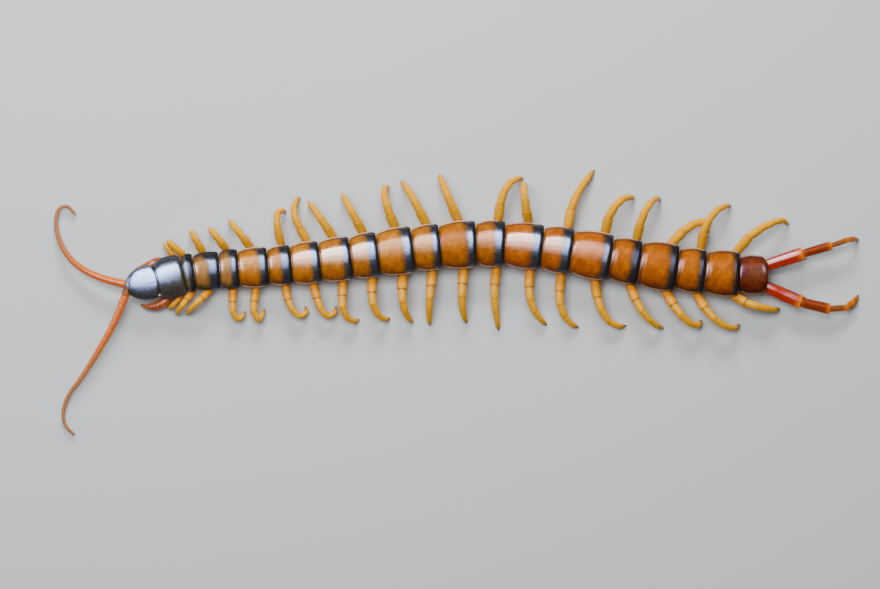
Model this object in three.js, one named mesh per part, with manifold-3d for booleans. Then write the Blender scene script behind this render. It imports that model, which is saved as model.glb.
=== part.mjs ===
// Giant centipede (Scolopendra), life size, standing still on the floor with its legs spread.
// Millimetres, +Z up. The head points towards -X, the tail towards +X, and the animal's right side is at +Y.
// The origin is on the floor, under the middle of the animal's outline.
import * as THREE from "three";
import { mergeVertices } from "three/addons/utils/BufferGeometryUtils.js";
import Module from "manifold-3d";

const wasm = await Module();
wasm.setup();

// Driving dimensions
const GAP = 0.3; // clearance between pieces that touch
const BELLY = 0.9; // height of the belly plates above the floor
const NECK = new THREE.Vector2(-75.1, 5.5); // where the head meets the first segment, in plan
const MIDDLE = new THREE.Vector3(-0.01, 0.05, 0); // middle of the outline before it is moved to the origin
const NECK_TURN = 13; // direction that the neck's plane faces, degrees from +X

// Each trunk segment: length, width over the back plate, and direction from head to tail in degrees
const SEGMENTS = [
  [6.8, 10.5, 14],
  [2.7, 9.5, 10],
  [6.4, 9.4, 5],
  [4.8, 9.8, 4],
  [7.4, 10.0, 4],
  [5.9, 9.9, 5],
  [7.2, 10.5, 6],
  [7.8, 11.0, 7],
  [6.9, 11.3, 8],
  [8.8, 11.8, 7.5],
  [6.8, 11.5, 6.5],
  [9.0, 11.8, 4],
  [7.1, 11.6, -0.5],
  [9.5, 11.5, -5.5],
  [7.4, 11.6, -8],
  [9.9, 11.9, -9.5],
  [7.4, 11.3, -10],
  [9.4, 11.9, -8],
  [7.1, 11.1, -7],
  [8.4, 11.4, -4],
  [7.3, 9.8, -2],
];
const LAST = SEGMENTS.length;
const REFERENCE_WIDTH = 11.8; // segment width at which the leg sizes below are given

// Shares of a segment's width that set its cross-section
const BACK_HEIGHT = 0.52; // back plate's ridge above the belly
const EDGE_HEIGHT = 0.31; // back plate's side edge above the belly
const WALL_OUT = 0.36; // soft side wall, out from the middle
const BELLY_OUT = 0.27; // belly plate's edge, out from the middle
const LEG_HEIGHT = 0.17; // middle of the leg's root above the belly

// Trunk nodes: most hold two segments.
const SINGLES = [1, 20, 21];
const PAIRS = [2, 4, 6, 8, 10, 12, 14, 16, 18];
const TRUNK_NODES = [...SINGLES.map((n) => [n]), ...PAIRS.map((n) => [n, n + 1])].sort((a, b) => a[0] - b[0]);

// A leg: the coxa stands straight out from the side wall, to the back plate's edge. Then come the long
// podomeres, each with its length at full size and its radius where it starts and ends.
const COXA = { length: 1.1, radius: 1.18 };
const PODOMERES = [
  { name: "prefemur", length: 4.6, start: 1.14, end: 1.32 },
  { name: "femur", length: 3.4, start: 1.04, end: 1.06 },
  { name: "tibia", length: 3.2, start: 0.95, end: 0.92 },
  { name: "first tarsus", length: 2.7, start: 0.82, end: 0.76 },
  { name: "second tarsus", length: 1.7, start: 0.68, end: 0.52 },
  { name: "claw", length: 0.9, start: 0.38, end: 0.28 },
];
const OTHER_COXAE = { left: { 20: 0.7 }, right: { 1: 0.8, 4: 1.3, 14: 1.3 } }; // drawn in, or held out
const FULL_LEG = PODOMERES.reduce((sum, p) => sum + p.length, 0);

// Leg length: the first pair is short, each next one nears the full length, and the last two gain again.
const LEG_LENGTH = { full: 16.7, shorter: 8.6, pairs: 5, gainAfter: 18 };
const SLIM_LEGS = [0.62, 0.74, 0.82]; // girth of the first three pairs, against full size
const JOINT_STEP = 0.16; // distance from a joint to the ring on either side of it
const LEG_SIDES = 8;
const FEMUR_LIFT = 0.35; // lift of the femur, as a share of the prefemur's
const DROOP = [0.45, 0.85, 1.1, 1.25]; // how sharply tibia, tarsi and claw turn down, against each other
const STEEPEST = 88; // the steepest that a podomere stands, in degrees

// How each leg is held: its place along its segment, the lift of its prefemur, then the plan directions of
// its five long podomeres, in degrees
const RIGHT_LEGS = [
  [0.78, 6, 122, 128, 132, 132, 132],
  [0.24, 28, 138, 136, 134, 130, 125],
  [0.39, 36, 117, 119, 120, 120, 120],
  [0.4, 42, 127, 129, 130, 130, 130],
  [0.45, 37, 126, 129, 131, 132, 132],
  [0.62, 28, 102, 98, 86, 20, -50],
  [0.6, 16, 116, 116, 98, 76, 40],
  [0.52, 31, 124, 124, 125, 128, 128],
  [0.56, 32, 118, 118, 119, 119, 119],
  [0.57, 30, 112, 108, 102, 80, 10],
  [0.59, 24, 117, 118, 120, 124, 128],
  [0.56, 24, 114, 112, 112, 112, 112],
  [0.75, 18, 83, 74, 56, 30, 8],
  [0.58, 43, 102, 98, 94, 94, 94],
  [0.75, 0, 80, 69, 59, 53, 50],
  [0.75, 26, 78, 62, 42, 15, -20],
  [0.75, 28, 78, 70, 56, 38, -20],
  [0.74, 2, 47, 34, 12, -85, -105],
  [0.75, 24, 82, 66, 48, 25, 5],
  [0.89, 18, 50, 36, 25, 14, -40],
];
const LEFT_LEGS = [
  [0.7, 8, -127, -136, -142, -145, -145],
  [0.5, 26, -126, -127, -128, -128, -128],
  [0.55, 24, -133, -137, -137, -137, -137],
  [0.62, 6, -92, -88, -62, 30, 68],
  [0.54, 6, -99, -91, -62, 56, 70],
  [0.64, 6, -80, -66, -44, 30, 100],
  [0.66, 6, -76, -70, -48, 30, 82],
  [0.65, 14, -94, -88, -66, -30, 20],
  [0.66, 16, -93, -82, -66, -36, 10],
  [0.62, 20, -95, -86, -76, -62, -42],
  [0.62, 12, -97, -95, -92, -90, -86],
  [0.62, 12, -97, -92, -86, -78, -70],
  [0.73, 0, -97, -90, -84, -82, -80],
  [0.73, 4, -94, -84, -68, -52, -42],
  [0.75, 2, -96, -86, -70, -48, -26],
  [0.68, 2, -82, -72, -56, -28, 2],
  [0.77, 14, -70, -60, -48, -36, -20],
  [0.75, 16, -61, -52, -42, -14, 60],
  [0.75, 18, -60, -48, -34, -12, 30],
  [0.84, 16, -33, -17, -12, -8, 10],
];

// Legs of another length than their place on the body gives, as legs that grew anew have
const OTHER_LENGTHS = {
  left: { 1: 0.8, 13: 1.06, 14: 1.03, 15: 1.03, 16: 1.05, 20: 0.8 },
  right: { 1: 0.76, 2: 0.86, 3: 0.92, 4: 0.95, 15: 1.06 },
};

// The last pair of legs: longer, stouter podomeres with flat backs, the heights of their joints and the
// plan directions of the long ones
const TERMINAL = {
  lengths: [0.7, 9.7, 7.4, 4.4, 2.3, 1.7, 0.9],
  starts: [1.5, 1.5, 1.27, 0.72, 0.74, 0.68, 0.4],
  ends: [1.5, 1.78, 1.38, 0.76, 0.82, 0.54, 0.28],
  right: {
    heights: [2.6, 2.6, 3.4, 3.9, 3.8, 2.0, 0.6, 0],
    plan: [17.7, 16, 19, 8, 0, -8],
    out: 2.45, // root, out from the middle of the trunk's end
    girth: 0.84, // girth from the femur on
  },
  left: {
    heights: [2.6, 2.6, 3.1, 2.6, 1.7, 1.1, 0.5, 0],
    plan: [-24, -13, 4, 38, 52, 52],
    out: 2.85,
    girth: 1,
  },
  flatTop: 0.72, // height of the flat back, as a share of the radius
  sides: 9,
};

// Short spines on the inner side of the last legs' prefemora: places along it, how steeply each points up,
// and the depth of their feet in the shell
const SPINES = {
  length: 1.8,
  radius: 0.24,
  sides: 5,
  places: [0.35, 0.55, 0.75],
  slopes: [0.1, -0.35, 0.1],
  backwards: 0.9,
  foot: 0.95,
  bare: 0.54,
};

// Head: distance from the neck, half width, ridge height and underside height at each ring
const HEAD_TURN = 12;
const HEAD_RINGS = [
  [0, 3.3, 5.35, 3.35],
  [0.5, 3.95, 5.6, 3.3],
  [2.0, 4.2, 5.85, 3.25],
  [4.2, 3.95, 5.75, 3.25],
  [5.7, 3.3, 5.5, 3.3],
  [6.7, 2.6, 5.2, 3.35],
  [7.35, 1.75, 4.95, 3.45],
  [7.75, 0.9, 4.65, 3.65],
];
const HEAD_EDGE = 4.15; // height of the head plate's side edge
const MAXILLAE = [
  [2.6, 1.7, 2.75],
  [3.4, 2.0, 2.5],
  [5.2, 1.8, 2.5],
  [6.2, 1.1, 2.8],
]; // the mouth parts under the head: distance from the neck, half width, underside height
const MAXILLAE_TOP = 3.7;
const OCELLI = [
  [5.0, 3.45, 4.5],
  [5.55, 3.2, 4.62],
  [5.15, 3.25, 4.85],
  [5.65, 2.95, 4.9],
]; // the four simple eyes of one side: distance from the neck, out, height
const OCELLUS_RADIUS = 0.3;

// Antennae: points of the middle line, from the socket to the tip
const RIGHT_ANTENNA = [
  [-83.45, 4.6, 3.9],
  [-86.2, 5.3, 3.8],
  [-89.5, 6.3, 3.4],
  [-93.2, 8.0, 3.0],
  [-96.5, 10.5, 2.5],
  [-98.9, 13.8, 2.0],
  [-100.2, 17.2, 1.6],
  [-100.6, 20.4, 1.3],
  [-100.0, 23.2, 1.1],
  [-97.9, 24.1, 0.9],
  [-95.7, 22.0, 0.75],
];
const LEFT_ANTENNA = [
  [-83.1, 1.6, 3.9],
  [-84.2, -1.2, 3.7],
  [-86.1, -5.5, 3.3],
  [-88.5, -9.8, 2.8],
  [-91.2, -14.3, 2.3],
  [-94.3, -19.0, 1.8],
  [-97.0, -22.6, 1.4],
  [-98.5, -25.8, 1.1],
  [-98.8, -28.8, 0.95],
  [-98.0, -31.2, 0.85],
  [-96.0, -33.2, 0.7],
];
const ANTENNA = { articles: 18, root: 1.12, tip: 0.36, sides: 7, waist: 0.88, bulge: 0.6, taper: 0.85 };
const SOCKET = { depth: 2.6, inner: 0.9, sides: 9 }; // an antenna's socket: depth in the head, inner width

// Poison claws, in the first segment's own directions: along towards the tail, out to the side, and height
const LEFT_JAW = [
  [2.3, 3.35, 1.75],
  [1.5, 4.95, 1.8],
  [-0.2, 5.85, 1.8],
  [-2.1, 6.1, 1.8],
  [-3.7, 5.85, 1.8],
  [-4.8, 5.4, 1.75],
  [-5.6, 4.75, 1.7],
];
const RIGHT_JAW = [
  [2.3, 3.35, 1.75],
  [1.4, 4.45, 1.8],
  [-0.4, 4.15, 1.8],
  [-2.5, 3.75, 1.8],
  [-4.2, 3.65, 1.8],
  [-5.5, 3.3, 1.75],
  [-6.3, 2.5, 1.7],
];
const JAW_RADII = [1.15, 1.25, 1.3, 1.15, 0.85, 0.55, 0.25];
const JAW_SIDES = 9;
const JAW_PLATE = { front: -1.7, back: 3.6, halfWidth: 3.0, top: 2.9 };

const radians = THREE.MathUtils.degToRad;
const lerp = THREE.MathUtils.lerp;
const UP = new THREE.Vector3(0, 0, 1);

// Unit vector in plan for a direction in degrees from +X
function heading(degrees) {
  return new THREE.Vector3(Math.cos(radians(degrees)), Math.sin(radians(degrees)), 0);
}

// The same direction turned a quarter to the left, which is the animal's right side
function sideways(degrees) {
  return heading(degrees + 90);
}

// A closed geometry over rings of equal count; each end is closed by a flat cap.
function loft(rings) {
  const sides = rings[0].length;
  const points = rings.flat();
  const index = [];
  for (let r = 0; r + 1 < rings.length; r++) {
    for (let k = 0; k < sides; k++) {
      const a = r * sides + k;
      const b = r * sides + ((k + 1) % sides);
      index.push(a, b, b + sides, a, b + sides, a + sides);
    }
  }
  capTriangles(rings[0]).forEach(([a, b, c]) => index.push(c, b, a));
  const last = (rings.length - 1) * sides;
  capTriangles(rings[rings.length - 1]).forEach(([a, b, c]) => index.push(last + a, last + b, last + c));
  return new THREE.BufferGeometry().setFromPoints(points).setIndex(index);
}

// Triangles over a flat ring, as three indices each, wound as the ring is
function capTriangles(ring) {
  const normal = new THREE.Vector3();
  ring.forEach((p, k) => normal.add(p.clone().cross(ring[(k + 1) % ring.length])));
  normal.normalize();
  const across = new THREE.Vector3().subVectors(ring[1], ring[0]).projectOnPlane(normal).normalize();
  const up = normal.clone().cross(across);
  const outline = ring.map((p) => new THREE.Vector2(p.dot(across), p.dot(up)));
  return THREE.ShapeUtils.triangulateShape(outline, []);
}

// A circle of points round a centre, square to a direction, with its first point towards +Z
function circle(centre, direction, radius, sides, flatTop = 1) {
  const out = new THREE.Vector3().crossVectors(direction, UP).normalize();
  const up = new THREE.Vector3().crossVectors(out, direction).normalize();
  return Array.from({ length: sides }, (_, k) => {
    const angle = (2 * Math.PI * (k + 0.5)) / sides;
    const rise = Math.min(Math.cos(angle), flatTop);
    return centre
      .clone()
      .addScaledVector(up, radius * rise)
      .addScaledVector(out, radius * Math.sin(angle));
  });
}

// A tube along points. At each inner joint two rings stand a step either side, in the joint's mitre plane.
function jointedTube(points, starts, ends, sides, { rootNormal, flatFoot, flatTop } = {}) {
  const directions = points.slice(1).map((p, j) => new THREE.Vector3().subVectors(p, points[j]).normalize());
  const rings = [circle(points[0], rootNormal ?? directions[0], starts[0], sides, flatTop)];
  for (let j = 1; j < directions.length; j++) {
    const mitre = new THREE.Vector3().addVectors(directions[j - 1], directions[j]).normalize();
    const before = points[j].clone().addScaledVector(directions[j - 1], -JOINT_STEP);
    const after = points[j].clone().addScaledVector(directions[j], JOINT_STEP);
    rings.push(circle(before, mitre, ends[j - 1], sides, flatTop));
    rings.push(circle(after, mitre, starts[j], sides, flatTop));
  }
  const foot = points[points.length - 1];
  const last = directions[directions.length - 1];
  const radius = ends[directions.length - 1];
  rings.push(flatFoot ? flatRing(foot, last, radius, sides) : circle(foot, last, radius, sides));
  return loft(rings);
}

// A level ring, the small flat on which a claw stands; it faces down.
function flatRing(centre, direction, radius, sides) {
  const ahead = new THREE.Vector3(direction.x, direction.y, 0).normalize();
  const out = new THREE.Vector3().crossVectors(ahead, UP);
  return Array.from({ length: sides }, (_, k) => {
    const angle = (2 * Math.PI * (k + 0.5)) / sides;
    return centre
      .clone()
      .addScaledVector(ahead, radius * Math.cos(angle))
      .addScaledVector(out, radius * Math.sin(angle));
  });
}

// Solids for joining, and back
function solid(geometry) {
  const merged = mergeVertices(geometry, 1e-4);
  return new wasm.Manifold(
    new wasm.Mesh({
      numProp: 3,
      vertProperties: new Float32Array(merged.attributes.position.array),
      triVerts: new Uint32Array(merged.index.array),
    }),
  );
}

function largestBody(manifold) {
  const bodies = manifold.decompose().sort((a, b) => b.volume() - a.volume());
  const mesh = bodies[0].getMesh();
  return new THREE.BufferGeometry()
    .setAttribute("position", new THREE.BufferAttribute(new Float32Array(mesh.vertProperties), 3))
    .setIndex(new THREE.BufferAttribute(new Uint32Array(mesh.triVerts), 1));
}

function joined(geometries) {
  return largestBody(geometries.map(solid).reduce((whole, piece) => whole.add(piece)));
}

// Materials, one for each kind of shell
const finish = (color, roughness) => new THREE.MeshStandardMaterial({ color, roughness, metalness: 0 });
const MATERIALS = {
  head: finish(0x23272b, 0.28),
  trunk: finish(0xa8640f, 0.25),
  tail: finish(0x6a2716, 0.3),
  leg: finish(0xe8a81a, 0.35),
  terminalLeg: finish(0xb8320f, 0.3),
  antenna: finish(0xb8632c, 0.4),
  jaw: finish(0x8c3a14, 0.3),
};

const centipede = new THREE.Group();
centipede.name = "giant_centipede";

function addNode(name, geometry, material) {
  geometry.translate(-MIDDLE.x, -MIDDLE.y, 0);
  const mesh = new THREE.Mesh(geometry, material);
  mesh.name = name;
  centipede.add(mesh);
}

// Trunk: where each segment starts, in plan
const trunk = [];
const cursor = new THREE.Vector3(NECK.x, NECK.y, 0);
SEGMENTS.forEach(([length, width, turn]) => {
  trunk.push({ length, width, turn, start: cursor.clone() });
  cursor.addScaledVector(heading(turn), length);
});
trunk.forEach((segment, i) => {
  segment.frontTurn = i ? (trunk[i - 1].turn + segment.turn) / 2 : NECK_TURN;
  segment.backTurn = i + 1 < LAST ? (trunk[i + 1].turn + segment.turn) / 2 : segment.turn;
});

// A point of the trunk's middle line on the floor, at a share t of a segment, and the turn of its plane
const SQUARE_PART = 0.3; // share of a segment over which its planes swing round to the joint's
function station(segment, t) {
  const centre = segment.start.clone().addScaledVector(heading(segment.turn), t * segment.length);
  let turn = segment.turn;
  if (t < SQUARE_PART) turn = lerp(segment.frontTurn, segment.turn, t / SQUARE_PART);
  if (t > 1 - SQUARE_PART) turn = lerp(segment.turn, segment.backTurn, (t - 1 + SQUARE_PART) / SQUARE_PART);
  return { centre, turn };
}

// A trunk cross-section as a ring: the arched back plate, the undercut soft wall and the flat belly.
const BACK_ANGLES = [0, 18, 38, 62, 90, 118, 142, 162, 180];
const WALL_FOOT = 0.075; // foot of the soft wall above the belly, as a share of the width
const PLATE_EDGE = 0.35; // thickness of the back plate's side edge
function trunkRing(segment, t, { wide = 1, high = 1, wall = WALL_OUT, belly = BELLY } = {}) {
  const { centre, turn } = station(segment, t);
  const half = (segment.width / 2) * wide;
  const edge = BELLY + segment.width * EDGE_HEIGHT;
  const under = edge - PLATE_EDGE;
  const rise = segment.width * (BACK_HEIGHT - EDGE_HEIGHT) * high;
  const out = segment.width * wall;
  const foot = Math.max(BELLY + segment.width * WALL_FOOT, belly + 0.1);
  const flat = segment.width * Math.min(BELLY_OUT, wall - 0.02);
  const outline = BACK_ANGLES.map((a) => [half * Math.cos(radians(a)), edge + rise * Math.sin(radians(a))]);
  outline.push([-out, under], [-out, foot], [-flat, belly], [flat, belly], [out, foot], [out, under]);
  return outline.map(([u, z]) => centre.clone().addScaledVector(sideways(turn), u).setZ(z));
}

// Rings of an ordinary segment: the back plate starts narrow, swells, and ends in a lip over the next one.
const PLATE_RINGS = [
  [0, { wide: 0.8, high: 0.86, wall: 0.345 }],
  [0.12, { wide: 0.91, high: 0.93 }],
  [0.38, { wide: 1.0, high: 1.0 }],
  [0.8, { wide: 1.0, high: 1.02 }],
  [0.965, { wide: 0.955, high: 1.0 }],
];
const NECK_RING = PLATE_RINGS[0][1];

// The first segment's belly stands higher in front, where the plate of the poison claws lies under it.
const FIRST_RINGS = [
  [0, { wide: 0.76, high: 0.8, belly: 3.25, wall: 0.3 }],
  [0.1, { wide: 0.88, high: 0.9, belly: 3.25, wall: 0.33 }],
  [0.4, { wide: 1.0, high: 1.0, belly: 3.25 }],
  [0.57, { wide: 1.0, high: 1.0, belly: 3.25 }],
  [0.62, { wide: 1.0, high: 1.0 }],
  [0.85, { wide: 0.97, high: 1.0 }],
  [0.965, { wide: 0.88, high: 0.97 }],
];
// The last segment ends in the haunches that carry the terminal legs; its plate runs on over their roots.
const HAUNCH_END = 0.8; // share of the segment at which the haunches end
const LAST_RINGS = [
  [0, NECK_RING],
  [0.12, { wide: 0.92, high: 0.93 }],
  [0.32, { wide: 1.0, high: 1.0, wall: 0.39 }],
  [0.6, { wide: 0.99, high: 1.0, wall: 0.45 }],
];
const LAST_END = { wide: 0.95, high: 0.96, wall: 0.44 };
const LAST_PLATE = [
  [0.5, 0.97, 0.99],
  [0.8, 0.94, 0.95],
  [0.93, 0.72, 0.86],
  [1.0, 0.42, 0.72],
  [1.03, 0.16, 0.6],
]; // the plate that runs on: share of the length, of the half width and of the rise
const LAST_PLATE_UNDER = 4.35; // height of its underside

function lastPlate() {
  const segment = trunk[LAST - 1];
  const base = BELLY + segment.width * EDGE_HEIGHT;
  const rise = segment.width * (BACK_HEIGHT - EDGE_HEIGHT);
  const rings = LAST_PLATE.map(([t, wide, high]) => {
    const { centre, turn } = station(segment, t);
    const half = (segment.width / 2) * wide;
    const outline = BACK_ANGLES.map((a) => [
      half * Math.cos(radians(a)),
      Math.max(LAST_PLATE_UNDER + 0.15, base + rise * high * Math.sin(radians(a))),
    ]);
    outline.push([-half * 0.9, LAST_PLATE_UNDER], [half * 0.9, LAST_PLATE_UNDER]);
    return outline.map(([u, z]) => centre.clone().addScaledVector(sideways(turn), u).setZ(z));
  });
  return loft(rings);
}

function ringsOf(number) {
  if (number === 1) return FIRST_RINGS;
  return number === LAST ? LAST_RINGS : PLATE_RINGS;
}

function trunkNode(numbers) {
  const rings = numbers.flatMap((number) => {
    const segment = trunk[number - 1];
    return ringsOf(number).map(([t, form], r) => {
      const opening = r === 0 && number === numbers[0] ? GAP / 2 / segment.length : 0;
      return trunkRing(segment, t + opening, form);
    });
  });
  const number = numbers[numbers.length - 1];
  const segment = trunk[number - 1];
  const next = trunk[number];
  if (!next) return joined([loft([...rings, trunkRing(segment, HAUNCH_END, LAST_END)]), lastPlate()]);
  const end = { ...segment, width: next.width };
  rings.push(trunkRing(end, 1 - GAP / 2 / segment.length, NECK_RING));
  return loft(rings);
}

TRUNK_NODES.forEach((numbers) => {
  const name = `trunk_${numbers.map((n) => String(n).padStart(2, "0")).join("_")}`;
  addNode(name, trunkNode(numbers), numbers[0] === LAST ? MATERIALS.tail : MATERIALS.trunk);
});

function legLength(number) {
  const shorter = LEG_LENGTH.shorter * Math.exp(-(number - 1) / LEG_LENGTH.pairs);
  return LEG_LENGTH.full - shorter + Math.max(0, number - LEG_LENGTH.gainAfter);
}

// The joints of a leg: out from the wall, up by the lift, then bent down until the claw is on the floor.
function legJoints(number, side, [place, lift, ...plan]) {
  const segment = trunk[number - 1];
  const { centre } = station(segment, place);
  const out = sideways(segment.turn).multiplyScalar(side);
  const root = centre.addScaledVector(out, segment.width * WALL_OUT + GAP);
  root.setZ(BELLY + segment.width * LEG_HEIGHT);
  const sideName = side < 0 ? "left" : "right";
  const coxa = OTHER_COXAE[sideName][number] ?? COXA.length;
  const scale = (legLength(number) / FULL_LEG) * (OTHER_LENGTHS[sideName][number] ?? 1);
  const walk = (droop) => {
    const slopes = [lift, lift * FEMUR_LIFT, ...DROOP.map((share) => -Math.min(STEEPEST, share * droop))];
    const joints = [root, root.clone().addScaledVector(out, coxa)];
    slopes.slice(0, PODOMERES.length).forEach((slope, j) => {
      const direction = heading(plan[Math.min(j, plan.length - 1)]).multiplyScalar(Math.cos(radians(slope)));
      direction.z = Math.sin(radians(slope));
      joints.push(joints[j + 1].clone().addScaledVector(direction, PODOMERES[j].length * scale));
    });
    return joints;
  };
  let [low, high] = [-40, 120];
  for (let pass = 0; pass < 40; pass++) {
    const middle = (low + high) / 2;
    const tip = walk(middle).at(-1);
    if (tip.z > 0) low = middle;
    else high = middle;
  }
  const joints = walk(high);
  joints.at(-1).setZ(0);
  return { joints, out };
}

function leg(number, side, pose) {
  const { joints, out } = legJoints(number, side, pose);
  const girth = SLIM_LEGS[number - 1] ?? trunk[number - 1].width / REFERENCE_WIDTH;
  const starts = [COXA, ...PODOMERES].map((p) => (p.start ?? p.radius) * girth);
  const ends = [COXA, ...PODOMERES].map((p) => (p.end ?? p.radius) * girth);
  return jointedTube(joints, starts, ends, LEG_SIDES, { rootNormal: out, flatFoot: true });
}

for (let number = 1; number < LAST; number++) {
  const label = `leg_${String(number).padStart(2, "0")}`;
  addNode(`${label}_right`, leg(number, 1, RIGHT_LEGS[number - 1]), MATERIALS.leg);
  addNode(`${label}_left`, leg(number, -1, LEFT_LEGS[number - 1]), MATERIALS.leg);
}

// Terminal legs: joints at their stated heights, and the short spines on the inner side of the prefemur
function terminalLeg(side, { heights, plan, out, girth }) {
  const segment = trunk[LAST - 1];
  const { centre } = station(segment, HAUNCH_END);
  const back = heading(segment.turn);
  const root = centre.addScaledVector(back, GAP).addScaledVector(sideways(segment.turn), side * out);
  root.setZ(heights[0]);
  const joints = [root];
  TERMINAL.lengths.forEach((length, j) => {
    const rise = heights[j + 1] - heights[j];
    const reach = Math.sqrt(length * length - rise * rise);
    const direction = j ? heading(plan[Math.min(j - 1, plan.length - 1)]) : back;
    const next = joints[j].clone().addScaledVector(direction, reach);
    joints.push(next.setZ(heights[j + 1]));
  });
  const fromFemur = (radius, k) => (k < 2 ? radius : radius * girth);
  const starts = TERMINAL.starts.map(fromFemur);
  const ends = TERMINAL.ends.map(fromFemur);
  const form = { rootNormal: back, flatFoot: true, flatTop: TERMINAL.flatTop };
  const shaft = jointedTube(joints, starts, ends, TERMINAL.sides, form);
  const inward = sideways(plan[0]).multiplyScalar(-side);
  const spines = SPINES.places.map((share, k) => {
    const lean = inward.clone().addScaledVector(heading(plan[0]), SPINES.backwards).normalize();
    lean.setZ(SPINES.slopes[k]).normalize();
    const foot = new THREE.Vector3().lerpVectors(joints[1], joints[2], share);
    foot.addScaledVector(inward, SPINES.foot).addScaledVector(lean, SPINES.bare);
    const cone = new THREE.ConeGeometry(SPINES.radius, SPINES.length, SPINES.sides);
    const turn = new THREE.Quaternion().setFromUnitVectors(new THREE.Vector3(0, 1, 0), lean);
    return bare(cone.applyQuaternion(turn).translate(...foot.toArray()));
  });
  return joined([shaft, ...spines]);
}

// A geometry with only its positions, so that shared corners merge
function bare(geometry) {
  geometry.deleteAttribute("normal");
  geometry.deleteAttribute("uv");
  return geometry;
}

addNode("terminal_leg_right", terminalLeg(1, TERMINAL.right), MATERIALS.terminalLeg);
addNode("terminal_leg_left", terminalLeg(-1, TERMINAL.left), MATERIALS.terminalLeg);

// Head capsule: rings across the head's axis, from the neck forwards
const headBack = new THREE.Vector3(NECK.x, NECK.y, 0).addScaledVector(heading(NECK_TURN), -GAP / 2);
function headRing([ahead, half, top, under]) {
  const turn = lerp(NECK_TURN, HEAD_TURN, Math.min(1, ahead));
  const centre = headBack.clone().addScaledVector(heading(HEAD_TURN), -ahead);
  const back = BACK_ANGLES.map((a) => [
    half * Math.cos(radians(a)),
    HEAD_EDGE + (top - HEAD_EDGE) * Math.sin(radians(a)),
  ]);
  const chin = [150, 120, 90, 60, 30].map((a) => [
    half * Math.cos(radians(a)) * 0.96,
    HEAD_EDGE - (HEAD_EDGE - under) * Math.sin(radians(a)) ** 0.5,
  ]);
  return [...back, ...chin].map(([u, z]) => centre.clone().addScaledVector(sideways(turn), u).setZ(z));
}

// Rings of the mouth parts, a block under the capsule with a rounded underside
function maxillaRing([ahead, half, under]) {
  const centre = headBack.clone().addScaledVector(heading(HEAD_TURN), -ahead);
  const rise = MAXILLAE_TOP - under;
  const outline = [
    [half, MAXILLAE_TOP],
    [-half, MAXILLAE_TOP],
    [-half, under + rise * 0.35],
    [-half * 0.6, under],
    [half * 0.6, under],
    [half, under + rise * 0.35],
  ];
  return outline.map(([u, z]) => centre.clone().addScaledVector(sideways(HEAD_TURN), u).setZ(z));
}

function antennaSocket(points) {
  const [face, ahead] = points.slice(0, 2).map((p) => new THREE.Vector3(...p));
  const direction = ahead.sub(face).normalize();
  const outer = face.clone().addScaledVector(direction, -GAP);
  const inner = face.clone().addScaledVector(direction, -SOCKET.depth);
  return loft([
    circle(inner, direction, ANTENNA.root * SOCKET.inner, SOCKET.sides),
    circle(outer, direction, ANTENNA.root, SOCKET.sides),
  ]);
}

function ocellus([ahead, out, height], side) {
  const centre = headBack.clone().addScaledVector(heading(HEAD_TURN), -ahead);
  centre.addScaledVector(sideways(HEAD_TURN), side * out).setZ(height);
  return bare(new THREE.IcosahedronGeometry(OCELLUS_RADIUS, 0)).translate(...centre.toArray());
}

const headPieces = [
  loft(HEAD_RINGS.map(headRing).reverse()),
  loft(MAXILLAE.map(maxillaRing).reverse()),
  antennaSocket(RIGHT_ANTENNA),
  antennaSocket(LEFT_ANTENNA),
  ...[1, -1].flatMap((side) => OCELLI.map((place) => ocellus(place, side))),
];
addNode("head", joined(headPieces), MATERIALS.head);

// Antennae: tapering strings of articles, each pinched where it meets the next
function antenna(points) {
  const curve = new THREE.CatmullRomCurve3(
    points.map((p) => new THREE.Vector3(...p)),
    false,
    "catmullrom",
    0.5,
  );
  const ring = (share, radius) =>
    circle(curve.getPointAt(share), curve.getTangentAt(share), radius, ANTENNA.sides);
  const rings = [];
  for (let k = 0; k <= ANTENNA.articles; k++) {
    const share = k / ANTENNA.articles;
    const radius = lerp(ANTENNA.root, ANTENNA.tip, share ** ANTENNA.taper);
    rings.push(ring(share, k ? radius * ANTENNA.waist : radius));
    if (k < ANTENNA.articles) rings.push(ring((k + ANTENNA.bulge) / ANTENNA.articles, radius));
  }
  return loft(rings);
}

addNode("antenna_right", antenna(RIGHT_ANTENNA), MATERIALS.antenna);
addNode("antenna_left", antenna(LEFT_ANTENNA), MATERIALS.antenna);

// Plate of the poison claws, under the front of the first segment
const first = trunk[0];
function firstPoint(along, out, height) {
  const point = first.start.clone().addScaledVector(heading(first.turn), along);
  return point.addScaledVector(sideways(first.turn), out).setZ(height);
}

function jawPlate() {
  const stations = [
    [JAW_PLATE.front, 0.5, 0.8],
    [JAW_PLATE.front + 0.8, 0.7, 1],
    [0.7, 0.78, 1],
    [1.2, 1, 1],
    [JAW_PLATE.back, 1, 1],
  ];
  const rings = stations.map(([along, wide, high]) => {
    const half = JAW_PLATE.halfWidth * wide;
    const top = lerp(BELLY, JAW_PLATE.top, high);
    const corners = [
      [half, lerp(BELLY, top, 0.85)],
      [half * 0.85, top],
      [-half * 0.85, top],
      [-half, lerp(BELLY, top, 0.85)],
      [-half, lerp(BELLY, top, 0.2)],
      [-half * 0.8, BELLY],
      [half * 0.8, BELLY],
      [half, lerp(BELLY, top, 0.2)],
    ];
    return corners.map(([u, z]) => firstPoint(along, u, z));
  });
  return loft(rings);
}
addNode("poison_claw_plate", jawPlate(), MATERIALS.jaw);

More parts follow.
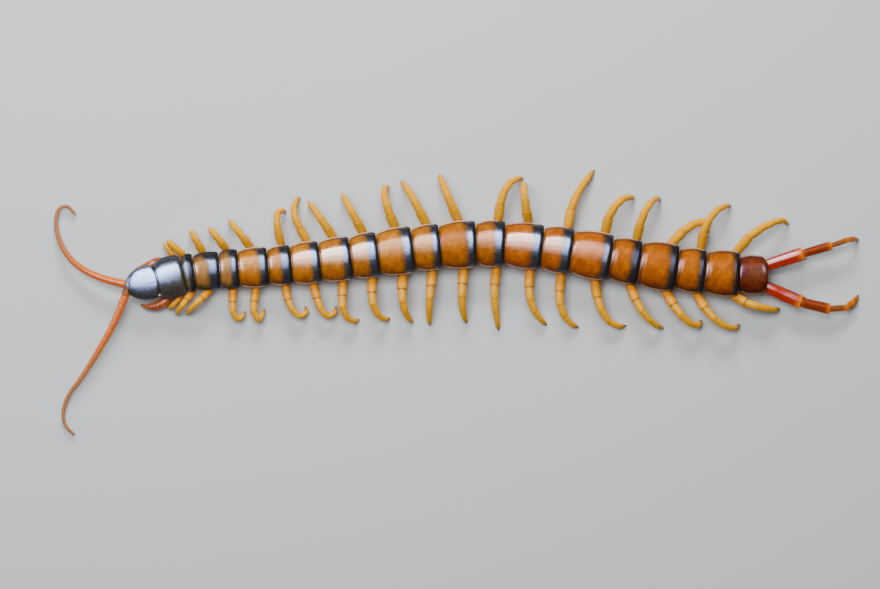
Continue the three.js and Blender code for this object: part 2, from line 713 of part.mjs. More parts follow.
// Poison claws: thick curved pincers that close under the head
function poisonClaw(side, path) {
  const places = path.map(([along, out, height]) => firstPoint(along, side * out, height));
  const rings = places.map((place, k) => {
    const before = places[Math.max(0, k - 1)];
    const after = places[Math.min(places.length - 1, k + 1)];
    const onward = new THREE.Vector3().subVectors(after, before).normalize();
    return circle(place, k ? onward : sideways(first.turn).multiplyScalar(side), JAW_RADII[k], JAW_SIDES);
  });
  return loft(rings);
}
addNode("poison_claw_right", poisonClaw(1, RIGHT_JAW), MATERIALS.jaw);
addNode("poison_claw_left", poisonClaw(-1, LEFT_JAW), MATERIALS.jaw);

export default centipede;
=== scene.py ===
import math

import bpy
import numpy as np
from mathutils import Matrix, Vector


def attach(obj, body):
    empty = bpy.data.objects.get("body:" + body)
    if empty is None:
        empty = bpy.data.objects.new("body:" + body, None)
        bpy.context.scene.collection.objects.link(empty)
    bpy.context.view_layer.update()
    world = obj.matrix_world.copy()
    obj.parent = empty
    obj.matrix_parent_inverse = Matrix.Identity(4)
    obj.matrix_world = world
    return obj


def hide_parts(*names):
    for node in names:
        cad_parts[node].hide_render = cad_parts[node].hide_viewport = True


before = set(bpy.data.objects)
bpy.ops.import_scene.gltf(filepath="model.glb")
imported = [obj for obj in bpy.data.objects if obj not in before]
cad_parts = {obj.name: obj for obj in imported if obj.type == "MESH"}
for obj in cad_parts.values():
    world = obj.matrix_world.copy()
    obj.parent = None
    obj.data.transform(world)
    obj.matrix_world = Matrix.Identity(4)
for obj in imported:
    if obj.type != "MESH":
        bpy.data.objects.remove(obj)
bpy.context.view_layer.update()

# The view: straight down on the animal's back from high above, its head at the left, its tail at the right.
# One pixel of the 880 by 589 picture covers a quarter of a millimetre at the height of the back.
MM = 0.001
PIXEL = 0.25
PICTURE_WIDTH = 880
LENS = 200.0
SENSOR = 36.0
BACK_LEVEL = 5.0
VIEW_MIDDLE = (-4.31, 1.94)


def in_scene(name, data):
    """A new object of the scene, at the origin."""
    made = bpy.data.objects.new(name, data)
    bpy.context.scene.collection.objects.link(made)
    return made


camera_data = bpy.data.cameras.new("camera")
camera_data.lens = LENS
camera_data.sensor_width = SENSOR
camera = in_scene("camera", camera_data)
camera_height = BACK_LEVEL + PICTURE_WIDTH * PIXEL * LENS / SENSOR
camera.location = (VIEW_MIDDLE[0] * MM, VIEW_MIDDLE[1] * MM, camera_height * MM)
bpy.context.scene.camera = camera

# The floor and the light: a plain pale floor, and a large soft window high above the animal's right side, in
# strips that grow brighter outwards, so that the back's highlight is brightest along its outer edge. Three more
# panels light the right flank, gloss the front and gloss the tail.
FLOOR_HALF = 3.0
FLOOR_COLOUR = (0.5, 0.485, 0.46, 1.0)
FLOOR_ROUGHNESS = 0.9
AIR_COLOUR = (1.0, 0.96, 0.93, 1.0)
AIR_STRENGTH = 0.12
WINDOW_HEIGHT = 500.0
WINDOW_ENDS = (-340.0, 90.0)
STRIP_EDGES = (-85.0, -48.0, -14.0, 35.0, 100.0, 200.0, 292.0)
STRIP_BRIGHTNESS = (1.0, 2.8, 5.2, 7.5, 12.0, 18.0)
PANEL_COLOUR = (0.84, 0.92, 1.0)
PANELS = (  # name, place, size, power, the point of the floor that it faces, and where it isn't seen
    ("flank_panel", (-30.0, 560.0, 290.0), (300.0, 140.0), 6.0, (-30.0, 0.0), "visible_glossy"),
    ("front_panel", (-620.0, 40.0, 300.0), (260.0, 220.0), 1.4, (0.0, 0.0), "visible_diffuse"),
    ("tail_panel", (225.0, 160.0, 500.0), (130.0, 190.0), 1.0, (225.0, 160.0), "visible_diffuse"),
)

floor_material = bpy.data.materials.new("pale_floor")
floor_material.use_nodes = True
floor_shader = floor_material.node_tree.nodes["Principled BSDF"]
floor_shader.inputs["Base Color"].default_value = FLOOR_COLOUR
floor_shader.inputs["Roughness"].default_value = FLOOR_ROUGHNESS
floor_mesh = bpy.data.meshes.new("floor")
floor_corners = [(x * FLOOR_HALF, y * FLOOR_HALF, 0) for x, y in ((-1, -1), (1, -1), (1, 1), (-1, 1))]
floor_mesh.from_pydata(floor_corners, [], [(0, 1, 2, 3)])
floor_mesh.materials.append(floor_material)
in_scene("floor", floor_mesh)

world = bpy.data.worlds.new("pale_air")
world.use_nodes = True
air = world.node_tree.nodes["Background"]
air.inputs["Color"].default_value = AIR_COLOUR
air.inputs["Strength"].default_value = AIR_STRENGTH
bpy.context.scene.world = world


def light_panel(name, place, size, power, aim):
    """A rectangular soft light at a place in millimetres, turned to face the point aim on the floor."""
    light = bpy.data.lights.new(name, "AREA")
    light.shape = "RECTANGLE"
    light.size, light.size_y = size[0] * MM, size[1] * MM
    light.energy = power
    light.color = PANEL_COLOUR
    panel = in_scene(name, light)
    panel.location = [value * MM for value in place]
    way = Vector(place) - Vector((*aim, 0))
    panel.rotation_euler = way.to_track_quat("Z", "Y").to_euler()
    panel.visible_camera = False
    return panel


for strip, brightness in enumerate(STRIP_BRIGHTNESS):
    low, high = STRIP_EDGES[strip : strip + 2]
    middle = (sum(WINDOW_ENDS) / 2, (low + high) / 2)
    size = (WINDOW_ENDS[1] - WINDOW_ENDS[0], high - low)
    power = brightness * math.pi * size[0] * size[1] * MM * MM
    light_panel(f"window_strip_{strip + 1}", (*middle, WINDOW_HEIGHT), size, power, middle)
for name, place, size, power, aim, unseen in PANELS:
    setattr(light_panel(name, place, size, power, aim), unseen, False)

# The trunk's soft sides and underside: leathery dark olive skin that joins all the hard plates, from neck to
# haunches. It folds in fine upright wrinkles, painted paler on their ridges and darker in their hollows as
# light and shade, and swells a little at the root of each leg.
SIDES = {1: "right", -1: "left"}
GAP = 0.3
BELLY = 0.9
MIDDLE = np.array([-0.01, 0.05])
NECK = np.array([-75.1, 5.5]) - MIDDLE
NECK_TURN = 13
SEGMENTS = np.array(
    [  # length, width over the back plate, direction from head to tail in degrees
        (6.8, 10.5, 14), (2.7, 9.5, 10), (6.4, 9.4, 5), (4.8, 9.8, 4), (7.4, 10.0, 4), (5.9, 9.9, 5),
        (7.2, 10.5, 6), (7.8, 11.0, 7), (6.9, 11.3, 8), (8.8, 11.8, 7.5), (6.8, 11.5, 6.5), (9.0, 11.8, 4),
        (7.1, 11.6, -0.5), (9.5, 11.5, -5.5), (7.4, 11.6, -8), (9.9, 11.9, -9.5), (7.4, 11.3, -10),
        (9.4, 11.9, -8), (7.1, 11.1, -7), (8.4, 11.4, -4), (7.3, 9.8, -2),
    ]
)
LAST = len(SEGMENTS)
BACK_HEIGHT = 0.52
EDGE_HEIGHT = 0.31
WALL_OUT = 0.36
WALL_TOP = 0.35
WALL_FOOT = 0.09
OTHER_WALLS = {
    1: ([0, 0.1, 0.4, 1], [0.29, 0.32, 0.355, 0.34]),
    LAST: ([0, 0.15, 0.4, 0.65, 0.8], [0.33, 0.36, 0.41, 0.44, 0.43]),
}
SKIN_TOP = ([0, 0.12, 0.38, 0.8, 1], [0.8, 0.9, 1, 1, 0.8])
SIDE_LEAN = np.array([(1.0, 0.0), (1.02, 0.35), (1.0, 0.7), (0.97, 1.0)])
BELLY_OUT = 0.27
SWING_PART = 0.3
SKIN_START = 0.04
HAUNCH_END = 0.8
FIRST_BELLY = 3.25
SKIN_ROWS = 24
WRINKLE = 0.06
WRINKLE_WAVES = (5, 8, 13)
SKIN_COLOUR = np.array([0.05, 0.036, 0.016])
PAINTED_RIDGE_LIGHT = np.array([0.15, 0.095, 0.04])
DARK_GLEAM = np.array([0.52, 0.64, 1.0])
NOISE_SPAN = {"From_Min": 0.3, "From_Max": 0.7}
ROUGHNESS_SPREAD = 0.15
COAT_ROUGHNESS = 0.1
TRUNK_NODES = ["trunk_01", *(f"trunk_{n:02d}_{n + 1:02d}" for n in range(2, 20, 2)), "trunk_20", "trunk_21"]


def heading(degrees):
    """Unit vectors in plan for directions in degrees from +X; the two coordinates are the last axis."""
    angle = np.radians(degrees)
    return np.stack([np.cos(angle), np.sin(angle)], -1)


turns = SEGMENTS[:, 2]
segment_steps = SEGMENTS[:, :1] * heading(turns)
segment_start = NECK + np.vstack([np.zeros((1, 2)), np.cumsum(segment_steps, 0)[:-1]])
front_turn = np.r_[NECK_TURN, (turns[1:] + turns[:-1]) / 2]
back_turn = np.r_[(turns[1:] + turns[:-1]) / 2, turns[-1]]


def beside(line, turn, across, height):
    """Points at a height, and across towards the animal's right from a line with the direction turn."""
    plan = line + across[..., None] * heading(turn + 90)
    return np.concatenate([plan, height[..., None]], -1)


def placed(number, t, across, height):
    """Points of a segment, beside the middle line at share t of its length, in a plane that swings from the
    front joint's direction to the back joint's."""
    t, across, height = np.broadcast_arrays(t, across, height)
    i = number - 1
    line = segment_start[i] + (t * SEGMENTS[i, 0])[..., None] * heading(turns[i])
    swing = [front_turn[i], turns[i], turns[i], back_turn[i]]
    return beside(line, np.interp(t, [0, SWING_PART, 1 - SWING_PART, 1], swing), across, height)


def smooth(x, knots, values):
    """A curve through knots: between two, the cubic whose slopes at them are those between their neighbours."""
    knots, values = np.asarray(knots, float), np.asarray(values, float)
    slope = np.gradient(values, knots)
    k = np.clip(np.searchsorted(knots, x, "right") - 1, 0, len(knots) - 2)
    span = knots[k + 1] - knots[k]
    f = np.clip((x - knots[k]) / span, 0, 1)
    rise = values[k + 1] - values[k]
    bend = f * (1 - f) * ((1 - f) * (slope[k] * span - rise) - f * (slope[k + 1] * span - rise))
    return values[k] + rise * f + bend


def step(x, low, high):
    """0 below low, 1 above high, and a smooth S between."""
    f = np.clip((x - low) / (high - low), 0, 1)
    return f * f * (3 - 2 * f)


def bell(x, width):
    """1 where x is 0, falling off on both sides as a bell curve of a width."""
    return np.exp(-((x / width) ** 2))


def mixed(a, b, share):
    """Colours between a and b, by an array of shares."""
    share = np.asarray(share)[..., None]
    return np.asarray(a, float) * (1 - share) + np.asarray(b, float) * share


def material_node(tree, kind, settings=None, **inputs):
    """A new shader node. A setting is a property of it. An input is a value, or a socket to link from."""
    made = tree.nodes.new("ShaderNode" + kind)
    for key, value in (settings or {}).items():
        setattr(made, key, value)
    for key, value in inputs.items():
        place = int(key[1:]) if key[1:].isdigit() else key.replace("_", " ")
        if isinstance(value, bpy.types.NodeSocket):
            tree.links.new(value, made.inputs[place])
        else:
            made.inputs[place].default_value = value
    return made


def shell_material(name, roughness, mottle, grain, layers, specular=0.5, coat=0.0, sheen=0.0, index=1.5):
    """A shell: the attribute tint, lightened and darkened by a cloudy noise of the size grain, and roughened by
    the tint's alpha and the same noise. The attribute gleam colours and weakens the highlights. A layer of the
    bump is a noise's size, its depth and how many times longer it is from head to tail. Sizes are millimetres."""
    material = bpy.data.materials.new(name)
    material.use_nodes = True
    tree = material.node_tree
    shader, link = tree.nodes["Principled BSDF"], tree.links.new
    where = material_node(tree, "TexCoord").outputs["Object"]
    tint, gleam = (material_node(tree, "Attribute", {"attribute_name": key}) for key in ("tint", "gleam"))
    link(gleam.outputs["Color"], shader.inputs["Specular Tint"])
    cloud = material_node(tree, "TexNoise", Vector=where, Scale=1 / (grain * MM), Detail=4.0, Roughness=0.6)

    def by_cloud(middle, spread):
        """A value that the cloud moves by a share spread to both sides of a middle one."""
        ends = {"To_Min": middle * (1 - spread), "To_Max": middle * (1 + spread), **NOISE_SPAN}
        return material_node(tree, "MapRange", Value=cloud.outputs["Fac"], **ends).outputs["Result"]

    shade = by_cloud(1, mottle)
    lit = material_node(tree, "VectorMath", {"operation": "SCALE"}, Vector=tint.outputs["Color"], Scale=shade)
    link(lit.outputs["Vector"], shader.inputs["Base Color"])
    rough = by_cloud(roughness, ROUGHNESS_SPREAD)
    worn = material_node(tree, "Math", {"operation": "MULTIPLY"}, _0=rough, _1=tint.outputs["Alpha"])
    link(worn.outputs["Value"], shader.inputs["Roughness"])
    normal = {}
    for size, depth, longer in layers:
        drawn_out = material_node(tree, "Mapping", Vector=where, Scale=(1 / longer, 1, 1)).outputs["Vector"]
        noise = material_node(tree, "TexNoise", Vector=drawn_out, Scale=1 / (size * MM), Detail=2.0)
        height = {"Height": noise.outputs["Fac"], "Distance": depth * MM, "Strength": 1.0}
        normal = {"Normal": material_node(tree, "Bump", **height, **normal).outputs["Normal"]}
    for socket in ("Normal", "Coat Normal") if coat else ("Normal",):
        link(normal["Normal"], shader.inputs[socket])
    finish = {"Specular IOR Level": specular, "IOR": index, "Coat Weight": coat, "Sheen Weight": sheen}
    finish["Coat Roughness"] = COAT_ROUGHNESS
    for socket, value in finish.items():
        shader.inputs[socket].default_value = value
    return material


def make(name, parts, material, nodes, crease=None):
    """One piece from its parts. A part is rings, an array of rows x points x 3 in millimetres, its points'
    colours, and how its ends close: "face" with one face each, "fold" with quads between the two halves of the
    end ring. Quads join each ring to the next. The colours become the attribute tint, whose fourth value
    multiplies the roughness. A fifth value is the strength of the gleam, whose colour is between the tint at full
    brightness and white, whiter the stronger it is, and bluish where the tint is nearly black."""
    points, faces, tints, first = [], [], [], 0
    for rings, tint, ends in parts:
        rows, count = rings.shape[:2]
        index = first + np.arange(rows * count).reshape(rows, count)
        after = np.roll(index, -1, 1)
        faces += np.stack([index[:-1], after[:-1], after[1:], index[1:]], -1).reshape(-1, 4).tolist()
        if ends == "face":
            faces += [index[0, ::-1].tolist(), index[-1].tolist()]
        else:
            half = count // 2
            near, far = index[:, :half], index[:, : half - 1 : -1]
            for end, order in ((0, 1), (-1, -1)):
                loop = np.stack([near[end, :-1], far[end, :-1], far[end, 1:], near[end, 1:]], -1)
                faces += loop[:, ::order].tolist()
        tint = np.asarray(tint, float)
        tint = np.concatenate([tint, np.ones((*tint.shape[:-1], 5 - tint.shape[-1]))], -1)
        points.append(rings.reshape(-1, 3))
        tints.append(np.broadcast_to(tint, (rows, count, 5)).reshape(-1, 5))
        first += rows * count
    mesh = bpy.data.meshes.new(name)
    mesh.from_pydata((np.vstack(points) * MM).tolist(), [], faces)
    tint = np.vstack(tints)
    full = tint[:, :3].max(1)
    own_gleam = mixed(tint[:, :3] / full[:, None], 1, 0.08 + 0.5 * tint[:, 4])
    gleam = mixed(DARK_GLEAM, own_gleam, step(full, 0.04, 0.15)) * tint[:, 4:]
    for key, values in (("tint", tint[:, :4]), ("gleam", np.c_[gleam, np.ones(len(gleam))])):
        attribute = mesh.attributes.new(key, "FLOAT_COLOR", "POINT")
        attribute.data.foreach_set("color", values.astype(np.float32).ravel())
    mesh.shade_smooth()
    if crease:
        mesh.set_sharp_from_angle(angle=math.radians(crease))
    mesh.materials.append(material)
    piece = in_scene(name, mesh)
    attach(piece, "root")
    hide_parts(*nodes)
    return piece


def wall_out(number, t):
    """How far out the soft side wall stands at shares t of a segment: a share of its width, swollen by a half
    sine squared. The first segment is drawn in at the neck, and the last widens into the haunches."""
    width = SEGMENTS[number - 1, 1]
    if number in OTHER_WALLS:
        return width * smooth(t, *OTHER_WALLS[number])
    return width * (WALL_OUT - 0.03) + 0.3 * np.sin(np.pi * t) ** 2


def skin_rings(number, t, waves):
    """Rings of the soft tube in one segment: an arched top that stays below the back plate, upright sides, and a
    narrower flat belly. The wrinkles are three sines of the length, with waves as their phases."""
    width = SEGMENTS[number - 1, 1]
    edge = BELLY + width * EDGE_HEIGHT
    rise = width * (BACK_HEIGHT - EDGE_HEIGHT) * smooth(t, *SKIN_TOP) - 0.5
    folds = sum(np.sin(2 * np.pi * (f * t + p)) for f, p in zip(WRINKLE_WAVES, waves)) / 3
    wall = wall_out(number, t) + WRINKLE * folds
    low = BELLY + 0.15 + (0 if number > 1 else (FIRST_BELLY - BELLY) * (1 - step(t, 0.57, 0.62))) + 0 * t
    foot = np.maximum(BELLY + width * WALL_FOOT, low + 0.1)
    flat = np.minimum(width * (BELLY_OUT - 0.02), wall - 0.2)
    arch = np.linspace(0, np.pi, 9)
    top_u = wall[:, None] * 0.97 * np.cos(arch)
    top_z = edge - 0.3 + rise[:, None] * np.sin(arch)
    side_u = wall[:, None] * SIDE_LEAN[:, 0]
    side_z = (edge - WALL_TOP) * (1 - SIDE_LEAN[:, 1]) + foot[:, None] * SIDE_LEAN[:, 1]
    belly_u = flat[:, None] * np.linspace(1, -1, 5)
    belly_z = low[:, None] * np.ones(5)
    u = np.hstack([top_u, -side_u, -belly_u, side_u[:, ::-1]])
    z = np.hstack([top_z, side_z, belly_z, side_z[:, ::-1]])
    # Painted light and shade: the wrinkles' ridges are paler and their hollows darker.
    colour = mixed(SKIN_COLOUR, PAINTED_RIDGE_LIGHT, 0.5 + 0.5 * folds[:, None] + 0 * u)
    return placed(number, t[:, None] + 0 * u, u, z), colour


rng = np.random.default_rng(3)
skin = []
for number in range(1, LAST + 1):
    share = np.linspace(SKIN_START if number == 1 else 0.0, HAUNCH_END if number == LAST else 1.0, SKIN_ROWS)
    skin.append(skin_rings(number, share if number == LAST else share[:-1], rng.random(3)))
skin_rows, skin_colours = (np.vstack(layer) for layer in zip(*skin))
skin_material = shell_material("soft_side_skin", 0.5, 0.3, 0.5, [(0.5, 0.05, 1), (0.15, 0.02, 1)])
make("soft_skin", [(skin_rows, skin_colours, "face")], skin_material, TRUNK_NODES)

# The side plates: small hard ovals let into the soft side of each segment, before, behind and above the leg's
# root. They are brown and glossy. Nine segments also have a breathing hole there, a black slit in a pale ring.
SIDE_PLATES = (  # how far behind the leg's usual place, how far down the wall, half length and half height
    (-0.17, 0.45, 0.07, 0.3),
    (0.17, 0.4, 0.075, 0.34),
    (0.02, 0.02, 0.14, 0.16),
)
USUAL_LEG_PLACE = {1: 0.55, -1: 0.66}
BREATHING = (3, 5, 8, 10, 12, 14, 16, 18, 20)
HOLE = (0.2, 0.0, 0.06, 0.12)
SIDE_COLOUR = np.array([0.16, 0.06, 0.018])
HOLE_COLOUR = np.array([0.004, 0.004, 0.004])
RING_COLOUR = np.array([0.3, 0.15, 0.06])


def around(count):
    """Angles at even steps once round."""
    return np.linspace(0, 2 * np.pi, count, endpoint=False)


def wall_patch(number, side, behind, down, wide, tall, thick, dip=0.0):
    """A low oval dome on a side wall, as rings from its rim to its middle. Its height is thick times the root of
    one less the square of the distance from the middle, less a dip there. It lies behind the leg's usual place
    and down the wall by shares."""
    width = SEGMENTS[number - 1, 1]
    top, foot = BELLY + width * EDGE_HEIGHT - WALL_TOP, BELLY + width * WALL_FOOT
    away = np.r_[np.linspace(1.0, 0.85, 4), np.linspace(0.7, 0.03, 8)][:, None]
    angle = around(24) * -side
    dome = thick * np.sqrt(1 - away**2 * 0.98) - dip * bell(away, 0.35) - 0.08
    share = USUAL_LEG_PLACE[side] + behind + wide * away * np.cos(angle)
    z = top + (foot - top) * (down + tall * away * np.sin(angle))
    return placed(number, share, side * (wall_out(number, share) + dome), z), away + 0 * angle


side_parts, hole_parts = [], []
for number in range(1, LAST):
    for side in SIDES:
        for plate in SIDE_PLATES:
            rings, away = wall_patch(number, side, *plate, 0.2)
            side_parts.append((rings, mixed(SIDE_COLOUR, SIDE_COLOUR * 0.4, away**3), "face"))
        if number in BREATHING:
            rings, away = wall_patch(number, side, *HOLE, 0.3, 0.26)
            hole_parts.append((rings, mixed(HOLE_COLOUR, RING_COLOUR, step(away, 0.35, 0.6)), "face"))
side_material = shell_material("side_plate_shell", 0.3, 0.2, 0.6, [(0.4, 0.01, 1)], coat=0.3)
make("side_plates", side_parts, side_material, TRUNK_NODES)
make("breathing_holes", hole_parts, side_material, TRUNK_NODES)

# The back plates: one hard glossy plate over each segment, a low arch with a thin raised rim along each side
# and two fine furrows. Amber with a blue-black rear band. The first two are blackish, the last is red-brown.
PLATE_ROWS = 72
PLATE_COLUMNS = 89
PLATE_THICK = 0.2
PLATE_REAR = 0.985
BLACK = np.array([0.013, 0.010, 0.009])
AMBER = np.array([0.29, 0.078, 0.0015])
RUSSET = np.array([0.285, 0.067, 0.001])
GOLD = np.array([0.325, 0.104, 0.003])
OLIVE = np.array([0.2, 0.083, 0.02])
UMBER = np.array([0.05, 0.034, 0.014])
MAROON = np.array([0.1, 0.016, 0.005])
RIM_COLOUR = np.array([0.7, 0.36, 0.2])
PLATE_LOOKS = [  # middle colour, share of the length at which the rear band starts, how far its right end
    # reaches forward, darkness of the sides, roughness of the middle, and strength of its gleam
    (BLACK * 2.4, 0.0, 0.0, 0.2, 1.3, 1.0),
    (UMBER * 1.5, 0.55, 0.1, 0.7, 1.3, 0.4),
    (OLIVE, 0.62, 0.22, 0.95, 1.5, 0.2),
    (OLIVE * 0.98, 0.68, 0.12, 0.8, 1.4, 0.25),
    (GOLD, 0.76, 0.1, 0.5, 1.4, 0.36),
    (GOLD * 0.8, 0.62, 0.06, 0.45, 1.4, 0.38),
    (GOLD * 1.08, 0.75, 0.03, 0.35, 1.0, 0.88),
    (GOLD, 0.79, 0.03, 0.35, 0.9, 1.0),
    (GOLD * 0.9, 0.68, 0.02, 0.35, 1.1, 0.92),
    (GOLD * 1.02, 0.75, 0.03, 0.35, 1.3, 0.45),
    (GOLD * 0.93, 0.76, 0.02, 0.35, 1.2, 0.6),
    (AMBER, 0.8, 0.03, 0.35, 1.4, 0.2),
    (AMBER * 0.95, 0.69, 0.02, 0.35, 1.2, 0.52),
    (RUSSET * 1.15, 0.76, 0.03, 0.35, 0.9, 0.95),
    (RUSSET * 1.05, 0.7, 0.02, 0.35, 1.0, 0.92),
    (RUSSET * 1.12, 0.83, 0.03, 0.35, 1.1, 0.48),
    (RUSSET * 1.05, 0.73, 0.02, 0.5, 1.3, 0.08),
    (RUSSET * 1.02, 0.82, 0.04, 0.5, 1.3, 0.08),
    (RUSSET * 1.02, 0.81, 0.03, 0.5, 1.3, 0.08),
    (RUSSET * 1.02, 0.89, 0.03, 0.5, 1.3, 0.08),
    (MAROON, None, 0.0, 0.4, 1.2, 0.07),
]
# Painted light and shade: the plates' colour is lightened on the animal's right and darkened and reddened on its
# left.
PAINTED_LIT_SIDE = np.array([1.2, 1.15, 1.0])
PAINTED_SHADED_SIDE = np.array([0.85, 0.72, 0.7])
GOLD_PATCH = np.array([1.14, 1.2, 1.1])
SHADOW_PATCH = np.array([0.84, 0.76, 0.8])
PLATE_FORM = (  # shares of the length, then of the full width and of the full rise there
    [0, 0.05, 0.14, 0.38, 0.8, 0.94, PLATE_REAR],
    [0.8, 0.86, 0.92, 1.0, 1.0, 0.965, 0.93],
    [0.985, 0.99, 0.995, 1.0, 1.0, 0.998, 0.995],
)
OTHER_FORMS = {
    1: (
        [0, 0.05, 0.14, 0.4, 0.62, 0.85, 0.94, PLATE_REAR],
        [0.76, 0.83, 0.9, 1.0, 1.0, 0.97, 0.9, 0.84],
        [0.97, 0.985, 0.99, 1.0, 1.0, 0.995, 0.98, 0.97],
    ),
    LAST: (
        [0, 0.05, 0.14, 0.32, 0.6, 0.8, 0.93, 1.0, 1.03],
        [0.8, 0.87, 0.93, 1, 0.99, 0.94, 0.72, 0.42, 0.16],
        [0.97, 0.98, 0.99, 1, 1, 0.98, 0.92, 0.84, 0.78],
    ),
}
FRONT_ROLL = (0.6, 0.36)
REAR_ROLL = (0.85, 0.38)
COLLAR = 0.12
COLLAR_BEAD = 0.42
RIM_BEAD = 0.18
RIM_GROOVE = 0.5
FURROW_OUT = 0.3
LAST_LIFT = 0.56
FRONT_PLATES = range(3, 7)
DULL_PLATES = range(17, LAST + 1)


def plate_grid(number):
    """The shares t of the length at a plate's rows, closer at its ends, the angles across it from the animal's
    right to its left, and the half width and rise at the rows, which follow the form's curves."""
    knots, widths, heights = OTHER_FORMS.get(number, PLATE_FORM)
    width = SEGMENTS[number - 1, 1]
    even = np.linspace(-1, 1, PLATE_ROWS)
    t = (knots[-1] * (0.5 + 0.5 * (0.55 * np.sin(even * np.pi / 2) + 0.45 * even)))[:, None]
    half = width / 2 * smooth(t, knots, widths)
    rise = width * (BACK_HEIGHT - EDGE_HEIGHT) * smooth(t, knots, heights)
    return t, np.linspace(0, np.pi, PLATE_COLUMNS)[None], half, rise


def plate_rings(number, waves, t, angle, half, rise):
    """A plate's rings. The outer arch is half an ellipse, and the inner arch lies a thickness below. The front
    and rear edges roll down by the square of the distance into the roll. Bell curves of the distance from the
    edges raise the side rim and the collar and sink the furrows, and slow sines with waves as phases dent the
    back."""
    long, width, _ = SEGMENTS[number - 1]
    edge = BELLY + width * EDGE_HEIGHT
    if number == LAST:
        lift = LAST_LIFT * step(t, 0.5, 0.8)
        edge, rise = edge + lift, rise - lift
    across = np.abs(np.cos(angle))
    from_front, from_rear = t * long, (t[-1] - t) * long
    out = half * (1 - across)
    roll = FRONT_ROLL[1] * np.clip(1 - from_front / FRONT_ROLL[0], 0, 1) ** 2
    roll = roll + REAR_ROLL[1] * np.clip(1 - from_rear / REAR_ROLL[0], 0, 1) ** 2
    roll = roll - 0.05 * bell(from_front - COLLAR, 0.1) + 0.03 * bell(from_front - COLLAR_BEAD, 0.12)
    sunk = 0.06 * bell(out - RIM_GROOVE, 0.13) * step(t, 0.08, 0.2) - 0.07 * bell(out - RIM_BEAD, 0.16)
    if 2 < number < LAST:
        sunk = sunk + 0.014 * bell((across - FURROW_OUT) * half, 0.12) * step(t, 0.1, 0.25)
    dents = np.sin(2.6 * np.pi * t + waves[0]) * np.sin(3.1 * angle + waves[1])
    dents = dents + 0.6 * np.sin(5.3 * np.pi * t + waves[2]) * np.sin(5.7 * angle + waves[3])
    sunk = sunk + 0.011 * dents * np.sin(angle) ** 2
    outer_u = (half - sunk * across - roll * 0.3) * np.cos(angle)
    outer_z = edge + (rise - sunk - roll) * np.sin(angle)
    inner_u = (half - PLATE_THICK) * np.cos(angle)
    inner_z = edge - PLATE_THICK + (rise - roll - PLATE_THICK * 0.5) * np.sin(angle)
    return placed(number, t, np.hstack([outer_u, inner_u[:, ::-1]]), np.hstack([outer_z, inner_z[:, ::-1]]))


